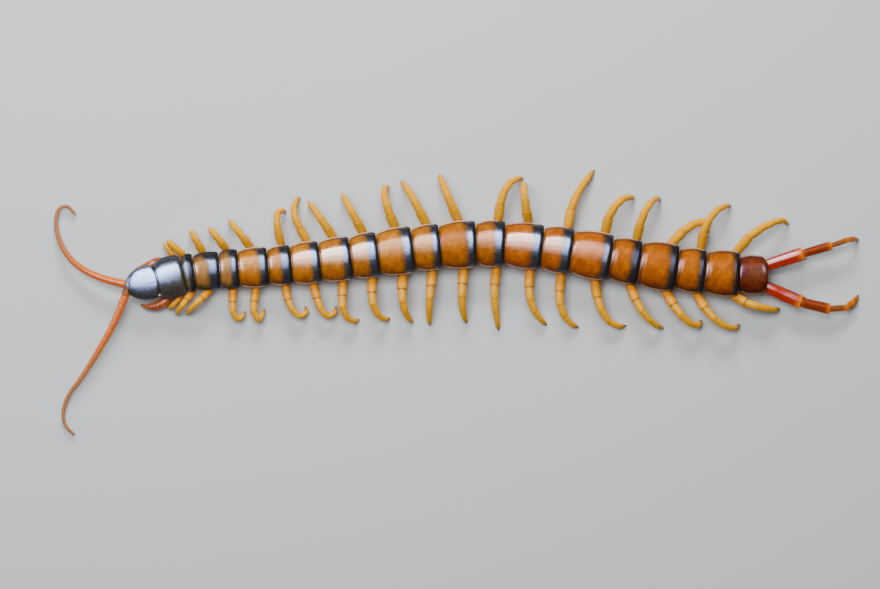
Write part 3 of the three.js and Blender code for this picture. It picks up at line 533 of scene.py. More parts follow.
def plate_tint(number, waves, t, angle, half):
    """A plate's colours, roughness and gleam. From the fifth plate on, the middle's colour is lightened on the
    animal's right and darkened on its left as painted light and shade. It is varied by clouds of nested sines,
    lightened over the middle and darkened towards the edges by a painted glow, and smooth steps turn it dark at
    the edges and black in the rear band, whose start waves. Bell curves of the distance from the edge draw the
    pale rim. The gleam falls from the front on and from right to left, in fine streaks of sines, and bell curves
    add bright patches to it on some plates."""
    middle, band_from, reach, sides_dark, rough, shine = PLATE_LOOKS[number - 1]
    long = SEGMENTS[number - 1, 0]
    dull = number in DULL_PLATES
    side = np.cos(angle)
    across = np.abs(side)
    from_front, from_rear = t * long, (t[-1] - t) * long
    out = half * (1 - across)
    cloudy = 0.5 + 0.28 * np.sin(9.1 * t + 4.3 * side + waves[0] + 1.3 * np.sin(5.7 * side + waves[2]))
    cloudy = cloudy + 0.22 * np.sin(17 * t - 7.9 * side + waves[3] + 1.1 * np.sin(13 * t + waves[1]))
    shade = mixed(SHADOW_PATCH, GOLD_PATCH, cloudy)
    # Painted light on the right side and painted shade on the left, darker still on the dull rear plates.
    if number > 4:
        left_shade = mixed(1, PAINTED_SHADED_SIDE * (0.9 if dull else 1), 1 - step(side, -0.8, 0.1))
        shade = mixed(1, PAINTED_LIT_SIDE, step(side, 0.4, 0.7)) * left_shade * shade
    # Painted glow: the middle of each plate is lightened and its edges darkened, more so on the dull rear plates.
    painted_glow = bell(t - 0.5, 0.34) * (1 - across**2)
    colour = middle * shade * ((0.82 + 0.36 * painted_glow) if dull else (0.92 + 0.16 * painted_glow))[..., None]
    colour = mixed(colour, BLACK * 1.3, sides_dark * step(across, 0.6, 1.0) + 0 * t)
    colour = mixed(colour, middle * 0.35, 0.6 * (1 - step(from_front + 0 * angle, 0.2, 0.8)))
    in_middle = step(from_front, 0.3, 1.0) * step(from_rear, 0.8, 1.8) + 0 * angle
    gleam = 1 + (shine - 1) * step(from_front, 0.25, 0.8) + 0 * angle
    gleam = gleam * (0.35 + 0.65 * step(side, -0.6, 0.45)) * (1 - 0.6 * step(side, 0.5, 0.66))
    streaks = np.sin(38 * side + waves[1] + 1.6 * np.sin(4 * t + waves[3]))
    gleam = gleam * (1 + 0.14 * (streaks * np.sin(11 * side + 3 * t + waves[0])))
    if number in FRONT_PLATES:
        gleam = gleam + 0.65 * bell(from_front - 0.78, 0.4) * bell(side - 0.1, 0.3)
    if band_from is not None:
        wave = 0.012 * np.sin(angle * 7 + waves[1]) + 0.01 * np.sin(angle * 17 + waves[2])
        start = band_from - 0.05 * across**4 - reach * (side > 0) * step(across, 0.35, 0.9) + wave
        colour = mixed(colour, UMBER * 0.8, 0.7 * step(t, start - 0.2, start))
        colour = mixed(colour, BLACK, step(t, start - 0.1, start + 0.07))
        banded = step(t, start - 0.08, start + 0.07)
        in_middle = in_middle * (1 - banded)
        gleam = gleam + ((0.22 if dull else 0.62 if number in FRONT_PLATES else 0.9) - gleam) * banded
        gleam = gleam * (0.3 + 0.7 * step(from_rear, 0.45, 1.1))
    if number > 4:
        rim = bell(out - 0.17, 0.12) * step(t, 0.04, 0.14)
        if band_from is None:
            rim = np.maximum(0.75 * rim, 0.6 * bell(from_rear - 0.1, 0.13) * step(across, 0.98, 0.9))
        else:
            rim = rim * (1 - 0.85 * step(t, band_from, band_from + 0.12))
        colour = mixed(colour, BLACK, 0.75 * bell(out - RIM_GROOVE, 0.16) * step(t, 0.04, 0.14))
        colour = mixed(colour, BLACK, 0.8 * (1 - step(out + 0 * t, 0.0, 0.07)))
        colour = mixed(colour, RIM_COLOUR * (0.75 if dull else 1), 0.9 * rim)
    if number == LAST:
        # Painted sheen: an olive-brown patch over the last plate's middle, a little to its right.
        colour = mixed(colour, OLIVE * 0.5, 0.5 * bell(t - 0.62, 0.26) * bell(side - 0.1, 0.5))
        gleam = gleam + 0.3 * bell(from_rear - 1.1, 0.5) * bell(side - 0.4, 0.3)
    elif dull:
        colour = mixed(colour, BLACK, 0.75 * bell(from_front - 0.5, 0.2) + 0 * angle)
        gleam = gleam + 0.5 * bell(from_front - 1.15, 0.4) * bell(side - 0.05, 0.42) * (1 - banded)
    if number == 1:
        # Umber clouds brown the first plate; that its right side takes less umber and stays blacker is painted
        # shade.
        colour = mixed(colour, UMBER, (0.4 + 0.3 * cloudy) * (1 - 0.55 * step(side, 0.4, 0.65)))
        gleam = 0.3 + 0.7 * step(side + 0.12 * cloudy, 0.5 * t - 0.62, 0.5 * t + 0.3)
        gleam = gleam * (1 - 0.45 * step(side, 0.5, 0.75))
    if number == 2:
        gleam = 0.48 - 0.34 * step(t + 0 * angle, 0.4, 0.65)
    looks = np.stack([1 + (rough - 1) * in_middle, gleam], -1)
    inner_colour = np.broadcast_to(middle * 0.4, colour.shape)
    return np.block([[colour, looks], [inner_colour, looks[:, ::-1]]])


PLATE_BUMPS = [(2.4, 0.012, 1), (1.0, 0.018, 1.4), (0.4, 0.006, 1), (0.3, 0.006, 7)]
HEAD_BUMPS = [(1.1, 0.03, 1), (0.42, 0.024, 1)]
plate_material = shell_material("back_plate_shell", 0.19, 0.26, 1.0, PLATE_BUMPS, specular=1.0, index=2.1)
head_material = shell_material("head_shell", 0.26, 0.15, 0.9, HEAD_BUMPS, specular=1.0, index=2.65)
for number in range(1, LAST + 1):
    waves = rng.random(4) * 6
    *grid, rise = plate_grid(number)
    plate = (plate_rings(number, waves, *grid, rise), plate_tint(number, waves, *grid), "fold")
    shell = head_material if number == 1 else plate_material
    trunk_node = next(n for n in TRUNK_NODES if f"{number:02d}" in n.split("_"))
    make(f"back_plate_{number:02d}", [plate], shell, [trunk_node], crease=50)

# The belly plates: one four-cornered plate under each segment, nearly flat, with two furrows along it.
# They are thinner and paler than the back plates, olive amber, and let into the soft skin.
BELLY_COLOUR = np.array([0.2, 0.1, 0.03])
BELLY_PLATE_THICK = 0.3
BELLY_ENDS = (0.06, 0.94)
OTHER_BELLY_ENDS = {1: (0.62, 0.94), LAST: (0.06, 0.74)}
BELLY_FORM = ([0, 0.08, 0.5, 0.92, 1], [0.84, 0.95, 1, 0.93, 0.8])
BELLY_FURROW = 0.4


def belly_plate(number):
    """A plate's rings: a low inverted arch, whose width follows a barrel curve along the segment. The furrows are
    bell curves, and the rim turns up by high powers of the distances out from the middle."""
    start, end = OTHER_BELLY_ENDS.get(number, BELLY_ENDS)
    t = np.linspace(start, end, 20)[:, None]
    s = (t - start) / (end - start)
    half = SEGMENTS[number - 1, 1] * BELLY_OUT * smooth(s, *BELLY_FORM)
    side = np.linspace(-1, 1, 33)[None]
    round_off = 0.22 * np.abs(side) ** 8 + 0.18 * np.abs(2 * s - 1) ** 10
    furrow = 0.05 * bell((np.abs(side) - BELLY_FURROW) * half, 0.12)
    under = BELLY + np.minimum(round_off + furrow, BELLY_PLATE_THICK - 0.02)
    u = np.hstack([side * half, side[:, ::-1] * half])
    z = np.hstack([under, np.full_like(under, BELLY + BELLY_PLATE_THICK)])
    shade = mixed(BELLY_COLOUR, BELLY_COLOUR * 0.4, np.hstack([np.abs(side) ** 4 + 0 * t] * 2))
    return placed(number, t, u, z), shade, "fold"


BELLY_BUMPS = [(1.5, 0.02, 1), (0.3, 0.006, 1)]
belly_material = shell_material("belly_plate_shell", 0.35, 0.15, 1.2, BELLY_BUMPS, coat=0.3)
belly_parts = [belly_plate(number) for number in range(1, LAST + 1)]
make("belly_plates", belly_parts, belly_material, TRUNK_NODES, crease=40)

# The walking legs: a short coxa at the side wall, then prefemur, femur, tibia and two tarsi, each a glossy
# yellow tube that narrows where it leaves the last one. Roots are orange, thin ends brown. A tarsus has a spur.
PODOMERES = np.array(
    [  # length, radius at its start and its end: coxa, prefemur, femur and tibia, then two tarsi and the claw
        (1.1, 1.18, 1.18), (4.6, 1.12, 1.3), (3.4, 1.04, 1.06), (3.2, 0.95, 0.92),
        (2.7, 0.82, 0.76), (1.7, 0.68, 0.52), (0.9, 0.38, 0.28),
    ]
)
REFERENCE_WIDTH = 11.8
SLIM_LEGS = (0.62, 0.74, 0.82)
LEG_HEIGHT = 0.17
DROOP = np.array([0.45, 0.85, 1.1, 1.25])
OTHER_COXAE = {(20, -1): 0.7, (1, 1): 0.8, (4, 1): 1.3, (14, 1): 1.3}
OTHER_LENGTHS = {
    (1, -1): 0.8, (13, -1): 1.06, (14, -1): 1.03, (15, -1): 1.03, (16, -1): 1.05, (20, -1): 0.8,
    (1, 1): 0.76, (2, 1): 0.86, (3, 1): 0.92, (4, 1): 0.95, (15, 1): 1.06,
}
LEG_SIDES = 20
LEG_NECKS = (0, 0.03, 0.04, 0.02, 0.03, 0.03)
LEG_SWELL = 0.05
LEG_FLARE = -0.05
LEG_ROUNDING = 0.35
SPUR = (0.5, 0.09)
LEG_GLEAM = 0.42
LEG_YELLOW = np.array([0.66, 0.27, 0.0])
LEG_ORANGE = np.array([0.55, 0.13, 0.0])
LEG_BROWN = np.array([0.34, 0.11, 0.006])
JOINT_COLOUR = np.array([0.36, 0.09, 0.002])
CLAW_BLACK = np.array([0.03, 0.012, 0.005])
LEG_POSES = {  # place along the segment, lift of the prefemur, plan directions of the five long podomeres
    1: (
        (0.78, 6, 122, 128, 132, 132, 132),
        (0.24, 28, 138, 136, 134, 130, 125),
        (0.39, 36, 117, 119, 120, 120, 120),
        (0.4, 42, 127, 129, 130, 130, 130),
        (0.45, 37, 126, 129, 131, 132, 132),
        (0.62, 28, 102, 98, 86, 20, -50),
        (0.6, 16, 116, 116, 98, 76, 40),
        (0.52, 31, 124, 124, 125, 128, 128),
        (0.56, 32, 118, 118, 119, 119, 119),
        (0.57, 30, 112, 108, 102, 80, 10),
        (0.59, 24, 117, 118, 120, 124, 128),
        (0.56, 24, 114, 112, 112, 112, 112),
        (0.75, 18, 83, 74, 56, 30, 8),
        (0.58, 43, 102, 98, 94, 94, 94),
        (0.75, 0, 80, 69, 59, 53, 50),
        (0.75, 26, 78, 62, 42, 15, -20),
        (0.75, 28, 78, 70, 56, 38, -20),
        (0.74, 2, 47, 34, 12, -85, -105),
        (0.75, 24, 82, 66, 48, 25, 5),
        (0.89, 18, 50, 36, 25, 14, -40),
    ),
    -1: (
        (0.7, 8, -127, -136, -142, -145, -145),
        (0.5, 26, -126, -127, -128, -128, -128),
        (0.55, 24, -133, -137, -137, -137, -137),
        (0.62, 6, -92, -88, -62, 30, 68),
        (0.54, 6, -99, -91, -62, 56, 70),
        (0.64, 6, -80, -66, -44, 30, 100),
        (0.66, 6, -76, -70, -48, 30, 82),
        (0.65, 14, -94, -88, -66, -30, 20),
        (0.66, 16, -93, -82, -66, -36, 10),
        (0.62, 20, -95, -86, -76, -62, -42),
        (0.62, 12, -97, -95, -92, -90, -86),
        (0.62, 12, -97, -92, -86, -78, -70),
        (0.73, 0, -97, -90, -84, -82, -80),
        (0.73, 4, -94, -84, -68, -52, -42),
        (0.75, 2, -96, -86, -70, -48, -26),
        (0.68, 2, -82, -72, -56, -28, 2),
        (0.77, 14, -70, -60, -48, -36, -20),
        (0.75, 16, -61, -52, -42, -14, 60),
        (0.75, 18, -60, -48, -34, -12, 30),
        (0.84, 16, -33, -17, -12, -8, 10),
    ),
}


def leg_joints(number, side):
    """A leg's joints, from the side wall to the claw. The coxa goes straight out, the prefemur rises by the lift
    and the femur by a third of it. The rest bend down by shares of one droop, which is halved in on until the
    claw is on the floor."""
    place, lift, *plan = LEG_POSES[side][number - 1]
    _, width, turn = SEGMENTS[number - 1]
    root = placed(number, place, side * (width * WALL_OUT + GAP), BELLY + width * LEG_HEIGHT)
    length = 16.7 - 8.6 * math.exp(-(number - 1) / 5) + max(0, number - 18)
    length *= OTHER_LENGTHS.get((number, side), 1)
    reach = PODOMERES[1:, 0] * length / PODOMERES[1:, 0].sum()
    coxa = OTHER_COXAE.get((number, side), PODOMERES[0, 0])
    knee = root + coxa * np.r_[side * heading(turn + 90), 0]
    ways = heading(np.array(plan + plan[-1:]))

    def walk(droop):
        slope = np.radians(np.r_[lift, lift * 0.35, -np.minimum(88, DROOP * droop)])
        steps = np.c_[ways * np.cos(slope)[:, None], np.sin(slope)] * reach[:, None]
        return np.vstack([root, knee, knee + np.cumsum(steps, 0)])

    low, high = -40.0, 120.0
    for _ in range(40):
        middle = (low + high) / 2
        low, high = (middle, high) if walk(middle)[-1, 2] > 0 else (low, middle)
    joints = walk(high)
    joints[-1, 2] = 0
    return joints


def unit(vector):
    """A vector drawn out or in to the length one."""
    return vector / np.linalg.norm(vector)


def tube(line, radii, sides, flat_top=1.0, roof=0.0):
    """Rings along a line of points. Each ring is square to the line and keeps the last one's twist. A point at
    angle a stands at radius times cos a to the side and sin a up, and no higher than a roof: flat_top less roof
    times a mean of cos a and its square. Under a roof the sides are steeper."""
    ahead = np.gradient(line, axis=0)
    ahead /= np.linalg.norm(ahead, axis=1)[:, None]
    side = np.cross(ahead[0], (0, 0, 1))
    sideways = []
    for way in ahead:
        side = unit(side - side.dot(way) * way)
        sideways.append(side)
    sideways = np.array(sideways)
    up = np.cross(sideways, ahead)
    angle = around(sides)
    out = np.abs(np.cos(angle))
    steeper = 1 + 1.3 * roof * (np.sin(angle) > 0)
    height = np.minimum(np.sin(angle) * steeper, flat_top - roof * (0.4 * out + 0.6 * out**2))
    spread = sideways[:, None] * np.cos(angle)[None, :, None] + up[:, None] * height[None, :, None]
    return line[:, None] + np.asarray(radii)[:, None, None] * spread


PODOMERE_ROWS = np.array([0.0, 0.03, 0.07, 0.13, 0.22, 0.34, 0.46, 0.58, 0.7, 0.8, 0.88, 0.93, 0.97, 0.995])


def limb(joints, starts, ends, rounding, sides, necks, swell, flare, flat_top=1.0, roof=0.0):
    """Rings of a jointed limb, and each ring's podomere, its share of it and its length. A point of the line is
    the mean of the bent line over a short stretch either side, which rounds its corners. A podomere's radius goes
    evenly from its start to its end, swollen by a half sine, drawn in by its share of necks where it leaves the
    last joint, and flared or rounded off at its own end."""
    lengths = np.linalg.norm(np.diff(joints, axis=0), axis=1)
    marks = np.r_[0, np.cumsum(lengths)]
    s = (marks[:-1, None] + lengths[:, None] * PODOMERE_ROWS).ravel()
    room = np.minimum(np.minimum(s, marks[-1] - s), rounding)
    near = s[:, None] + room[:, None] * np.linspace(-1, 1, 9)
    line = np.stack([np.interp(near, marks, joints[:, k]).mean(1) for k in range(3)], -1)
    line[:, 0] += np.linspace(0, 1e-4, len(line))
    share = np.tile(PODOMERE_ROWS, len(lengths))
    which = np.repeat(np.arange(len(lengths)), len(PODOMERE_ROWS))
    length = lengths[which]
    radius = starts[which] * (1 - share) + ends[which] * share
    radius = radius * (1 + swell * np.sin(np.pi * share))
    neck = np.asarray(necks)[which] * bell(share * length, 0.35)
    radius = radius * (1 - neck + flare * bell((1 - share) * length, 0.3))
    radius = np.where((which == len(lengths) - 1) & (share > 0.9), radius * 0.8, radius)
    return tube(line, radius, sides, flat_top, roof), which, share, length


def leg_colours(which, share, length, on_shaded_side):
    """Colours, roughness and gleam along a leg: orange at the coxa, yellow from the prefemur on, browner over the
    tarsi, with darker rings at joints, and glossiest over the femur. The left legs, on the shaded side, are
    orange for longer and have darker joint rings as painted shade, and they are glossier."""
    way = (which + share) / 6
    # Painted shade: on the left legs, on the shaded side, the orange runs further and the joint rings are darker.
    colour = mixed(LEG_ORANGE, LEG_YELLOW, step(way, 0.08, 0.42 if on_shaded_side else 0.26))
    colour = mixed(colour, LEG_BROWN, 0.7 * step(way, 0.82, 1.0))
    ring = (which == 2) * bell(share * length, 0.2) + 0.4 * (which > 2) * bell(share * length, 0.15)
    ring = ring + (which == 1) * bell((1 - share) * length, 0.16)
    colour = mixed(colour, JOINT_COLOUR, np.clip((0.6 if on_shaded_side else 0.35) * ring, 0, 1))
    lively = step(way, 0.2, 0.32) * (1 - step(way, 0.5, 0.68))
    gleam = LEG_GLEAM * (1 + (1.3 if on_shaded_side else 0.5) * lively)
    return np.c_[colour, 1 - (0.4 if on_shaded_side else 0.15) * lively, gleam]


def spur(foot, lean, length, radius, colour, sides=8):
    """A small straight spine: its radius falls from the foot to the tip as a power of what is left."""
    f = np.linspace(0, 1, 8)
    line = foot + lean * (f * length)[:, None]
    return tube(line, radius * (1 - f) ** 0.8 + 0.012, sides), mixed(colour, CLAW_BLACK, f)[:, None], "face"


def claw(joints, radius):
    """The hooked claw at a leg's end: its line is a quadratic curve from just inside the last podomere to the
    last joint, which first runs straight on, and its radius falls to a point as the square root of what is left.
    No point goes below the floor."""
    ahead = unit(joints[-2] - joints[-3])
    base, tip = joints[-2] - ahead * 0.1, joints[-1]
    knee = base + ahead * np.linalg.norm(tip - base) * 0.55
    f = np.linspace(0, 1, 12)
    g = f[:, None]
    line = base * (1 - g) ** 2 + knee * 2 * g * (1 - g) + tip * g**2
    rings = tube(line, radius * np.sqrt(1 - f) + 0.012, 10)
    rings[..., 2] = np.maximum(rings[..., 2], 0)
    return rings, mixed(LEG_BROWN, CLAW_BLACK, step(f, 0.0, 0.5))[:, None], "face"


leg_material = shell_material("leg_shell", 0.3, 0.14, 0.9, [(0.9, 0.014, 1), (0.3, 0.005, 1)], specular=0.3)
claw_parts = {1: [], -1: []}
for number in range(1, LAST):
    girth = SLIM_LEGS[number - 1] if number <= 3 else SEGMENTS[number - 1, 1] / REFERENCE_WIDTH
    starts, ends = PODOMERES[:, 1] * girth, PODOMERES[:, 2] * girth
    for side, word in SIDES.items():
        joints = leg_joints(number, side)
        joints[0, :2] -= side * heading(turns[number - 1] + 90) * GAP
        form = (LEG_ROUNDING, LEG_SIDES, LEG_NECKS, LEG_SWELL, LEG_FLARE)
        rings, which, share, length = limb(joints[:-1], starts, ends, *form)
        tint = leg_colours(which, share, length, side < 0)[:, None]
        onward = unit(joints[5] - joints[4])
        spur_foot = joints[5] + (0, 0, -ends[4] * 0.7) - onward * 0.25
        parts = [(rings, tint, "face"), spur(spur_foot, onward + (0, 0, -0.5), *SPUR, LEG_BROWN)]
        node = f"leg_{number:02d}_{word}"
        make(f"walking_{node}", parts, leg_material, [node], crease=60)
        claw_parts[side].append(claw(joints, starts[-1]))

# The walking legs' claws: one hard dark hook on each foot, which bears on the floor with its point. It grows
# from the end of the last podomere.
claw_material = shell_material("claw_shell", 0.25, 0.1, 0.6, [(0.2, 0.004, 1)], coat=0.4)
for side, word in SIDES.items():
    nodes = [f"leg_{n:02d}_{word}" for n in range(1, LAST)]
    make(f"claws_{word}", claw_parts[side], claw_material, nodes)

# The terminal legs: the stout last pair, trailed behind and held low. Each prefemur has a flat back with sharp
# edges, small spines inside and one at its corner. Cherry red, with orange joints and a dark claw.
TERMINAL_LENGTHS = np.array([0.7, 9.7, 7.4, 4.4, 2.3, 1.7, 0.9])
TERMINAL_STARTS = np.array([1.5, 1.5, 1.27, 0.78, 0.78, 0.68, 0.4])
TERMINAL_ENDS = np.array([1.5, 1.78, 1.38, 0.82, 0.84, 0.54, 0.28])
TERMINAL_POSES = {  # heights of the joints, plan directions after the coxa, the root's distance out, and girth
    1: ((2.6, 2.6, 3.4, 3.9, 3.8, 2.0, 0.6, 0), (17.7, 16, 19, 8, 0, -8), 2.45, 0.84),
    -1: ((2.6, 2.6, 3.1, 2.6, 1.7, 1.1, 0.5, 0), (-24, -13, 4, 38, 52, 52), 2.85, 1),
}
TERMINAL_ROUNDING = 0.3
TERMINAL_SIDES = 36
TERMINAL_NECKS = (0, 0.02, 0.08, 0.05, 0.06, 0.05)
TERMINAL_SWELL = 0.02
TERMINAL_FLARE = 0.03
FLAT_TOP = 0.86
ROOF = 0.24
CHERRY = np.array([0.27, 0.012, 0.001])
RUST = np.array([0.16, 0.02, 0.002])
CHERRY_ORANGE = np.array([0.56, 0.11, 0.001])
TAIL_BROWN = np.array([0.2, 0.055, 0.012])
TARSUS_ORANGE = np.array([0.36, 0.095, 0.004])
TERMINAL_COLOURS = np.array([CHERRY, CHERRY, RUST, TAIL_BROWN, TARSUS_ORANGE, TARSUS_ORANGE])
TERMINAL_GLEAM = np.array([0.8, 1.0, 0.12, 0.1, 0.12, 0.12])
SPINE = (1.3, 0.24)
SPINES = (  # place along the prefemur, distance inwards, share that leans on, and upward lean
    (0.35, 0.95, 0.9, 0.1),
    (0.55, 0.95, 0.9, -0.35),
    (0.75, 0.95, 0.9, 0.1),
    (0.97, 1.15, 1.8, 0.1),
)
TERMINAL_BUMPS = [(1.6, 0.01, 1), (0.4, 0.004, 1)]


def terminal_joints(side):
    """Joints of a terminal leg, each as far on in plan as its length and its change of height leave."""
    heights, plan, out, _ = TERMINAL_POSES[side]
    root = placed(LAST, HAUNCH_END + GAP / SEGMENTS[-1, 0], side * out, heights[0])
    rise = np.diff(heights)
    reach = np.sqrt(TERMINAL_LENGTHS**2 - rise**2)
    ways = heading(np.r_[turns[-1], plan]) * reach[:, None]
    return np.vstack([root, root + np.cumsum(np.c_[ways, rise], 0)])


def terminal_tint(side, which, share, length):
    """Colours and gleam of a terminal leg's points: each podomere's own, turned orange by bell curves at the
    joints. The prefemur's gleam steps up to the animal's right, and lies in two patches on the left leg."""
    flange = bell((1 - share) * length, np.where(which == 1, 1.0, 0.7)) + 0.6 * bell(share * length, 0.4)
    flange = np.clip(flange, 0, 1)
    colour = mixed(TERMINAL_COLOURS[which], CHERRY_ORANGE, flange * (which > 0))
    rightward = -np.cos(around(TERMINAL_SIDES))[None]
    facet = 0.2 + 0.8 * step(rightward, -0.1, 0.12)
    if side < 0:
        patches = np.clip(0.35 + bell(share - 0.12, 0.1) + bell(share - 0.72, 0.2), 0, 1)
        facet = facet * (1 - 0.7 * step(rightward, 0.72, 0.88)) * patches[:, None]
    gleam = (TERMINAL_GLEAM[which] * (1 - 0.8 * flange))[:, None] * np.where(which[:, None] == 1, facet, 1)
    colour = np.broadcast_to(colour[:, None], (*gleam.shape, 3))
    return np.concatenate([colour, np.ones((*gleam.shape, 1)), gleam[..., None]], -1)


gloss = {"specular": 0.9, "index": 1.7}
terminal_material = shell_material("terminal_leg_shell", 0.17, 0.16, 1.2, TERMINAL_BUMPS, **gloss)
for side, word in SIDES.items():
    joints = terminal_joints(side)
    _, plan, _, girth = TERMINAL_POSES[side]
    girths = np.r_[1, 1, np.full(5, girth)]
    starts, ends = TERMINAL_STARTS * girths, TERMINAL_ENDS * girths
    form = (TERMINAL_ROUNDING, TERMINAL_SIDES, TERMINAL_NECKS, TERMINAL_SWELL, TERMINAL_FLARE, FLAT_TOP, ROOF)
    rings, which, share, length = limb(joints[:-1], starts, ends, *form)
    parts = [(rings, terminal_tint(side, which, share, length), "face")]
    inward, onward = -side * heading(plan[0] + 90), heading(plan[0])
    for place, inside, leaning, upward in SPINES:
        lean = unit(np.r_[inward + leaning * onward, 0]) + (0, 0, upward)
        foot = joints[1] * (1 - place) + joints[2] * place + np.r_[inward, 0] * inside
        parts.append(spur(foot, unit(lean), *SPINE, CHERRY, 10))
    nodes = [f"terminal_leg_{word}"]
    make(f"trailing_leg_{word}", parts, terminal_material, nodes, crease=22)
    make(f"trailing_claw_{word}", [claw(joints, starts[-1])], claw_material, nodes)

# The haunches: two swollen lobes of red-brown shell under the last back plate, one round the root of each
# terminal leg. Each is finely pitted and narrows again behind, where the leg comes out.
HAUNCH_COLOUR = np.array([0.15, 0.035, 0.014])
HAUNCH_FORM = ([0.1, 0.16, 0.35, 0.65, 0.8, 0.86], [0.3, 0.62, 0.9, 1.0, 0.88, 0.6])
HAUNCH_OUT = ([0.1, 0.4, 0.86], [2.2, 2.75, 2.95])
HAUNCH_HALF = (1.35, 1.62)
HAUNCH_HEIGHT = 2.6
haunch_parts = []
t = np.linspace(0.1, 0.86, 30)[:, None]
angle = around(28)[None]
swell = smooth(t, *HAUNCH_FORM)
for side in SIDES:
    u = side * (smooth(t, *HAUNCH_OUT) + HAUNCH_HALF[0] * swell * np.cos(angle))
    z = HAUNCH_HEIGHT + HAUNCH_HALF[1] * swell * np.sin(angle) * (1 + 0.05 * np.cos(2 * angle))
    rings = placed(LAST, t, u, z)[:, ::side]
    haunch_parts.append((rings, mixed(HAUNCH_COLOUR, HAUNCH_COLOUR * 0.5, 1 - swell), "face"))
haunch_material = shell_material("haunch_shell", 0.32, 0.15, 0.8, [(0.25, 0.03, 1)], coat=0.4)
make("haunches", haunch_parts, haunch_material, ["trunk_21"])

# The head: a flat rounded shield, glossy blue-black and finely pitted, over a shallow capsule. The feelers'
# sockets stand out below its front edge.
HEAD_TURN = 12
HEAD_FORM = (  # distances ahead of the neck, then the half width, the top and the underside there
    [0, 0.5, 2.0, 4.2, 5.7, 6.7, 7.35, 7.75],
    [3.3, 3.95, 4.2, 3.95, 3.3, 2.6, 1.75, 0.9],
    [5.74, 5.79, 5.85, 5.82, 5.7, 5.52, 5.28, 4.9],
    [3.35, 3.3, 3.25, 3.25, 3.3, 3.35, 3.45, 3.65],
)
HEAD_EDGE = 4.15
CHIN_EDGE = HEAD_EDGE - 0.05
DOME_FALL = 0.36
DOME_POWER = 9.0
SHIELD_COLUMNS = 73
HEAD_BLACK = np.array([0.026, 0.019, 0.018])
CHIN_COLOUR = np.array([0.14, 0.045, 0.015])
SOCKET_COLOUR = np.array([0.35, 0.09, 0.012])
SOCKET_GLEAM = 0.12
FEELERS = {
    1: [
        (-83.45, 4.6, 3.9), (-86.2, 5.3, 3.8), (-89.5, 6.3, 3.4), (-93.2, 8.0, 3.0),
        (-96.5, 10.5, 2.5), (-98.9, 13.8, 2.0), (-100.2, 17.2, 1.6), (-100.6, 20.4, 1.3),
        (-100.0, 23.2, 1.1), (-97.9, 24.1, 0.9), (-95.7, 22.0, 0.75),
    ],
    -1: [
        (-83.1, 1.6, 3.9), (-84.2, -1.2, 3.7), (-86.1, -5.5, 3.3), (-88.5, -9.8, 2.8),
        (-91.2, -14.3, 2.3), (-94.3, -19.0, 1.8), (-97.0, -22.6, 1.4), (-98.5, -25.8, 1.1),
        (-98.8, -28.8, 0.95), (-98.0, -31.2, 0.85), (-96.0, -33.2, 0.7),
    ],
}
FEELER_ROOT = 1.12
SOCKET_FORM = ([-2.6, -1.2, -0.6, -0.15], [0.85, 0.95, 0.97, 0.86])
feeler_lines = {side: np.array(points) - np.r_[MIDDLE, 0] for side, points in FEELERS.items()}
head_back = NECK - heading(NECK_TURN) * GAP / 2


def head_point(ahead, across, height):
    """Points of the head, ahead of the neck along its own axis. The first millimetre's plane swings to the
    neck's."""
    ahead, across, height = np.broadcast_arrays(ahead, across, height)
    turn = NECK_TURN + (HEAD_TURN - NECK_TURN) * np.minimum(1, ahead)
    return beside(head_back - ahead[..., None] * heading(HEAD_TURN), turn, across, height)


ahead = np.r_[np.linspace(0, 0.5, 8), np.linspace(0.6, 6.9, 46), np.linspace(6.95, 7.75, 14)][::-1, None]
half, top, under = (smooth(ahead, HEAD_FORM[0], values) for values in HEAD_FORM[1:])
side = np.cos(np.linspace(0, np.pi, SHIELD_COLUMNS))[None]
across = np.abs(side)
chin_angle = np.linspace(np.pi, 0, 33)[None, 1:-1]
dome = (1 - DOME_FALL * side**2) * (1 - across**DOME_POWER) ** (1 / DOME_POWER)
from_edge = half * (1 - across) + (top - HEAD_EDGE) * dome * 0.4
rim_groove = 0.05 * bell(from_edge - 0.4, 0.12) * step(ahead, 0.3, 1.2)
midline = 0.018 * bell(half * (across - 0.16), 0.12) * (1 - step(ahead, 1.6, 2.6))
shield_z = HEAD_EDGE + (top - HEAD_EDGE) * dome - rim_groove - midline
chin_u = half * 0.96 * np.cos(chin_angle)
chin_z = CHIN_EDGE - (CHIN_EDGE - under) * np.sin(chin_angle) ** 0.5
head_rings = head_point(ahead, np.hstack([half * side, chin_u]), np.hstack([shield_z, chin_z]))
head_tint = np.ones((*head_rings.shape[:2], 5))
head_tint[:, :SHIELD_COLUMNS, :3] = HEAD_BLACK
head_tint[:, SHIELD_COLUMNS:, :3] = CHIN_COLOUR
head_tint[:, :SHIELD_COLUMNS, 4] = 0.25 + 0.75 * step(side, -0.62, -0.1)
head_parts = [(head_rings, head_tint, "face")]
for line in feeler_lines.values():
    f = np.linspace(-2.6, -GAP * 0.5, 16)
    socket_colour = mixed(CHIN_COLOUR, SOCKET_COLOUR, step(f, -1.4, -0.5))
    socket_tint = np.c_[socket_colour, np.ones(len(f)), np.full(len(f), SOCKET_GLEAM)]
    socket_line = line[0] + unit(line[1] - line[0]) * f[:, None]
    socket_rings = tube(socket_line, FEELER_ROOT * smooth(f, *SOCKET_FORM), 24)
    head_parts.append((socket_rings, socket_tint[:, None], "face"))
make("head_shield", head_parts, head_material, ["head"], crease=60)

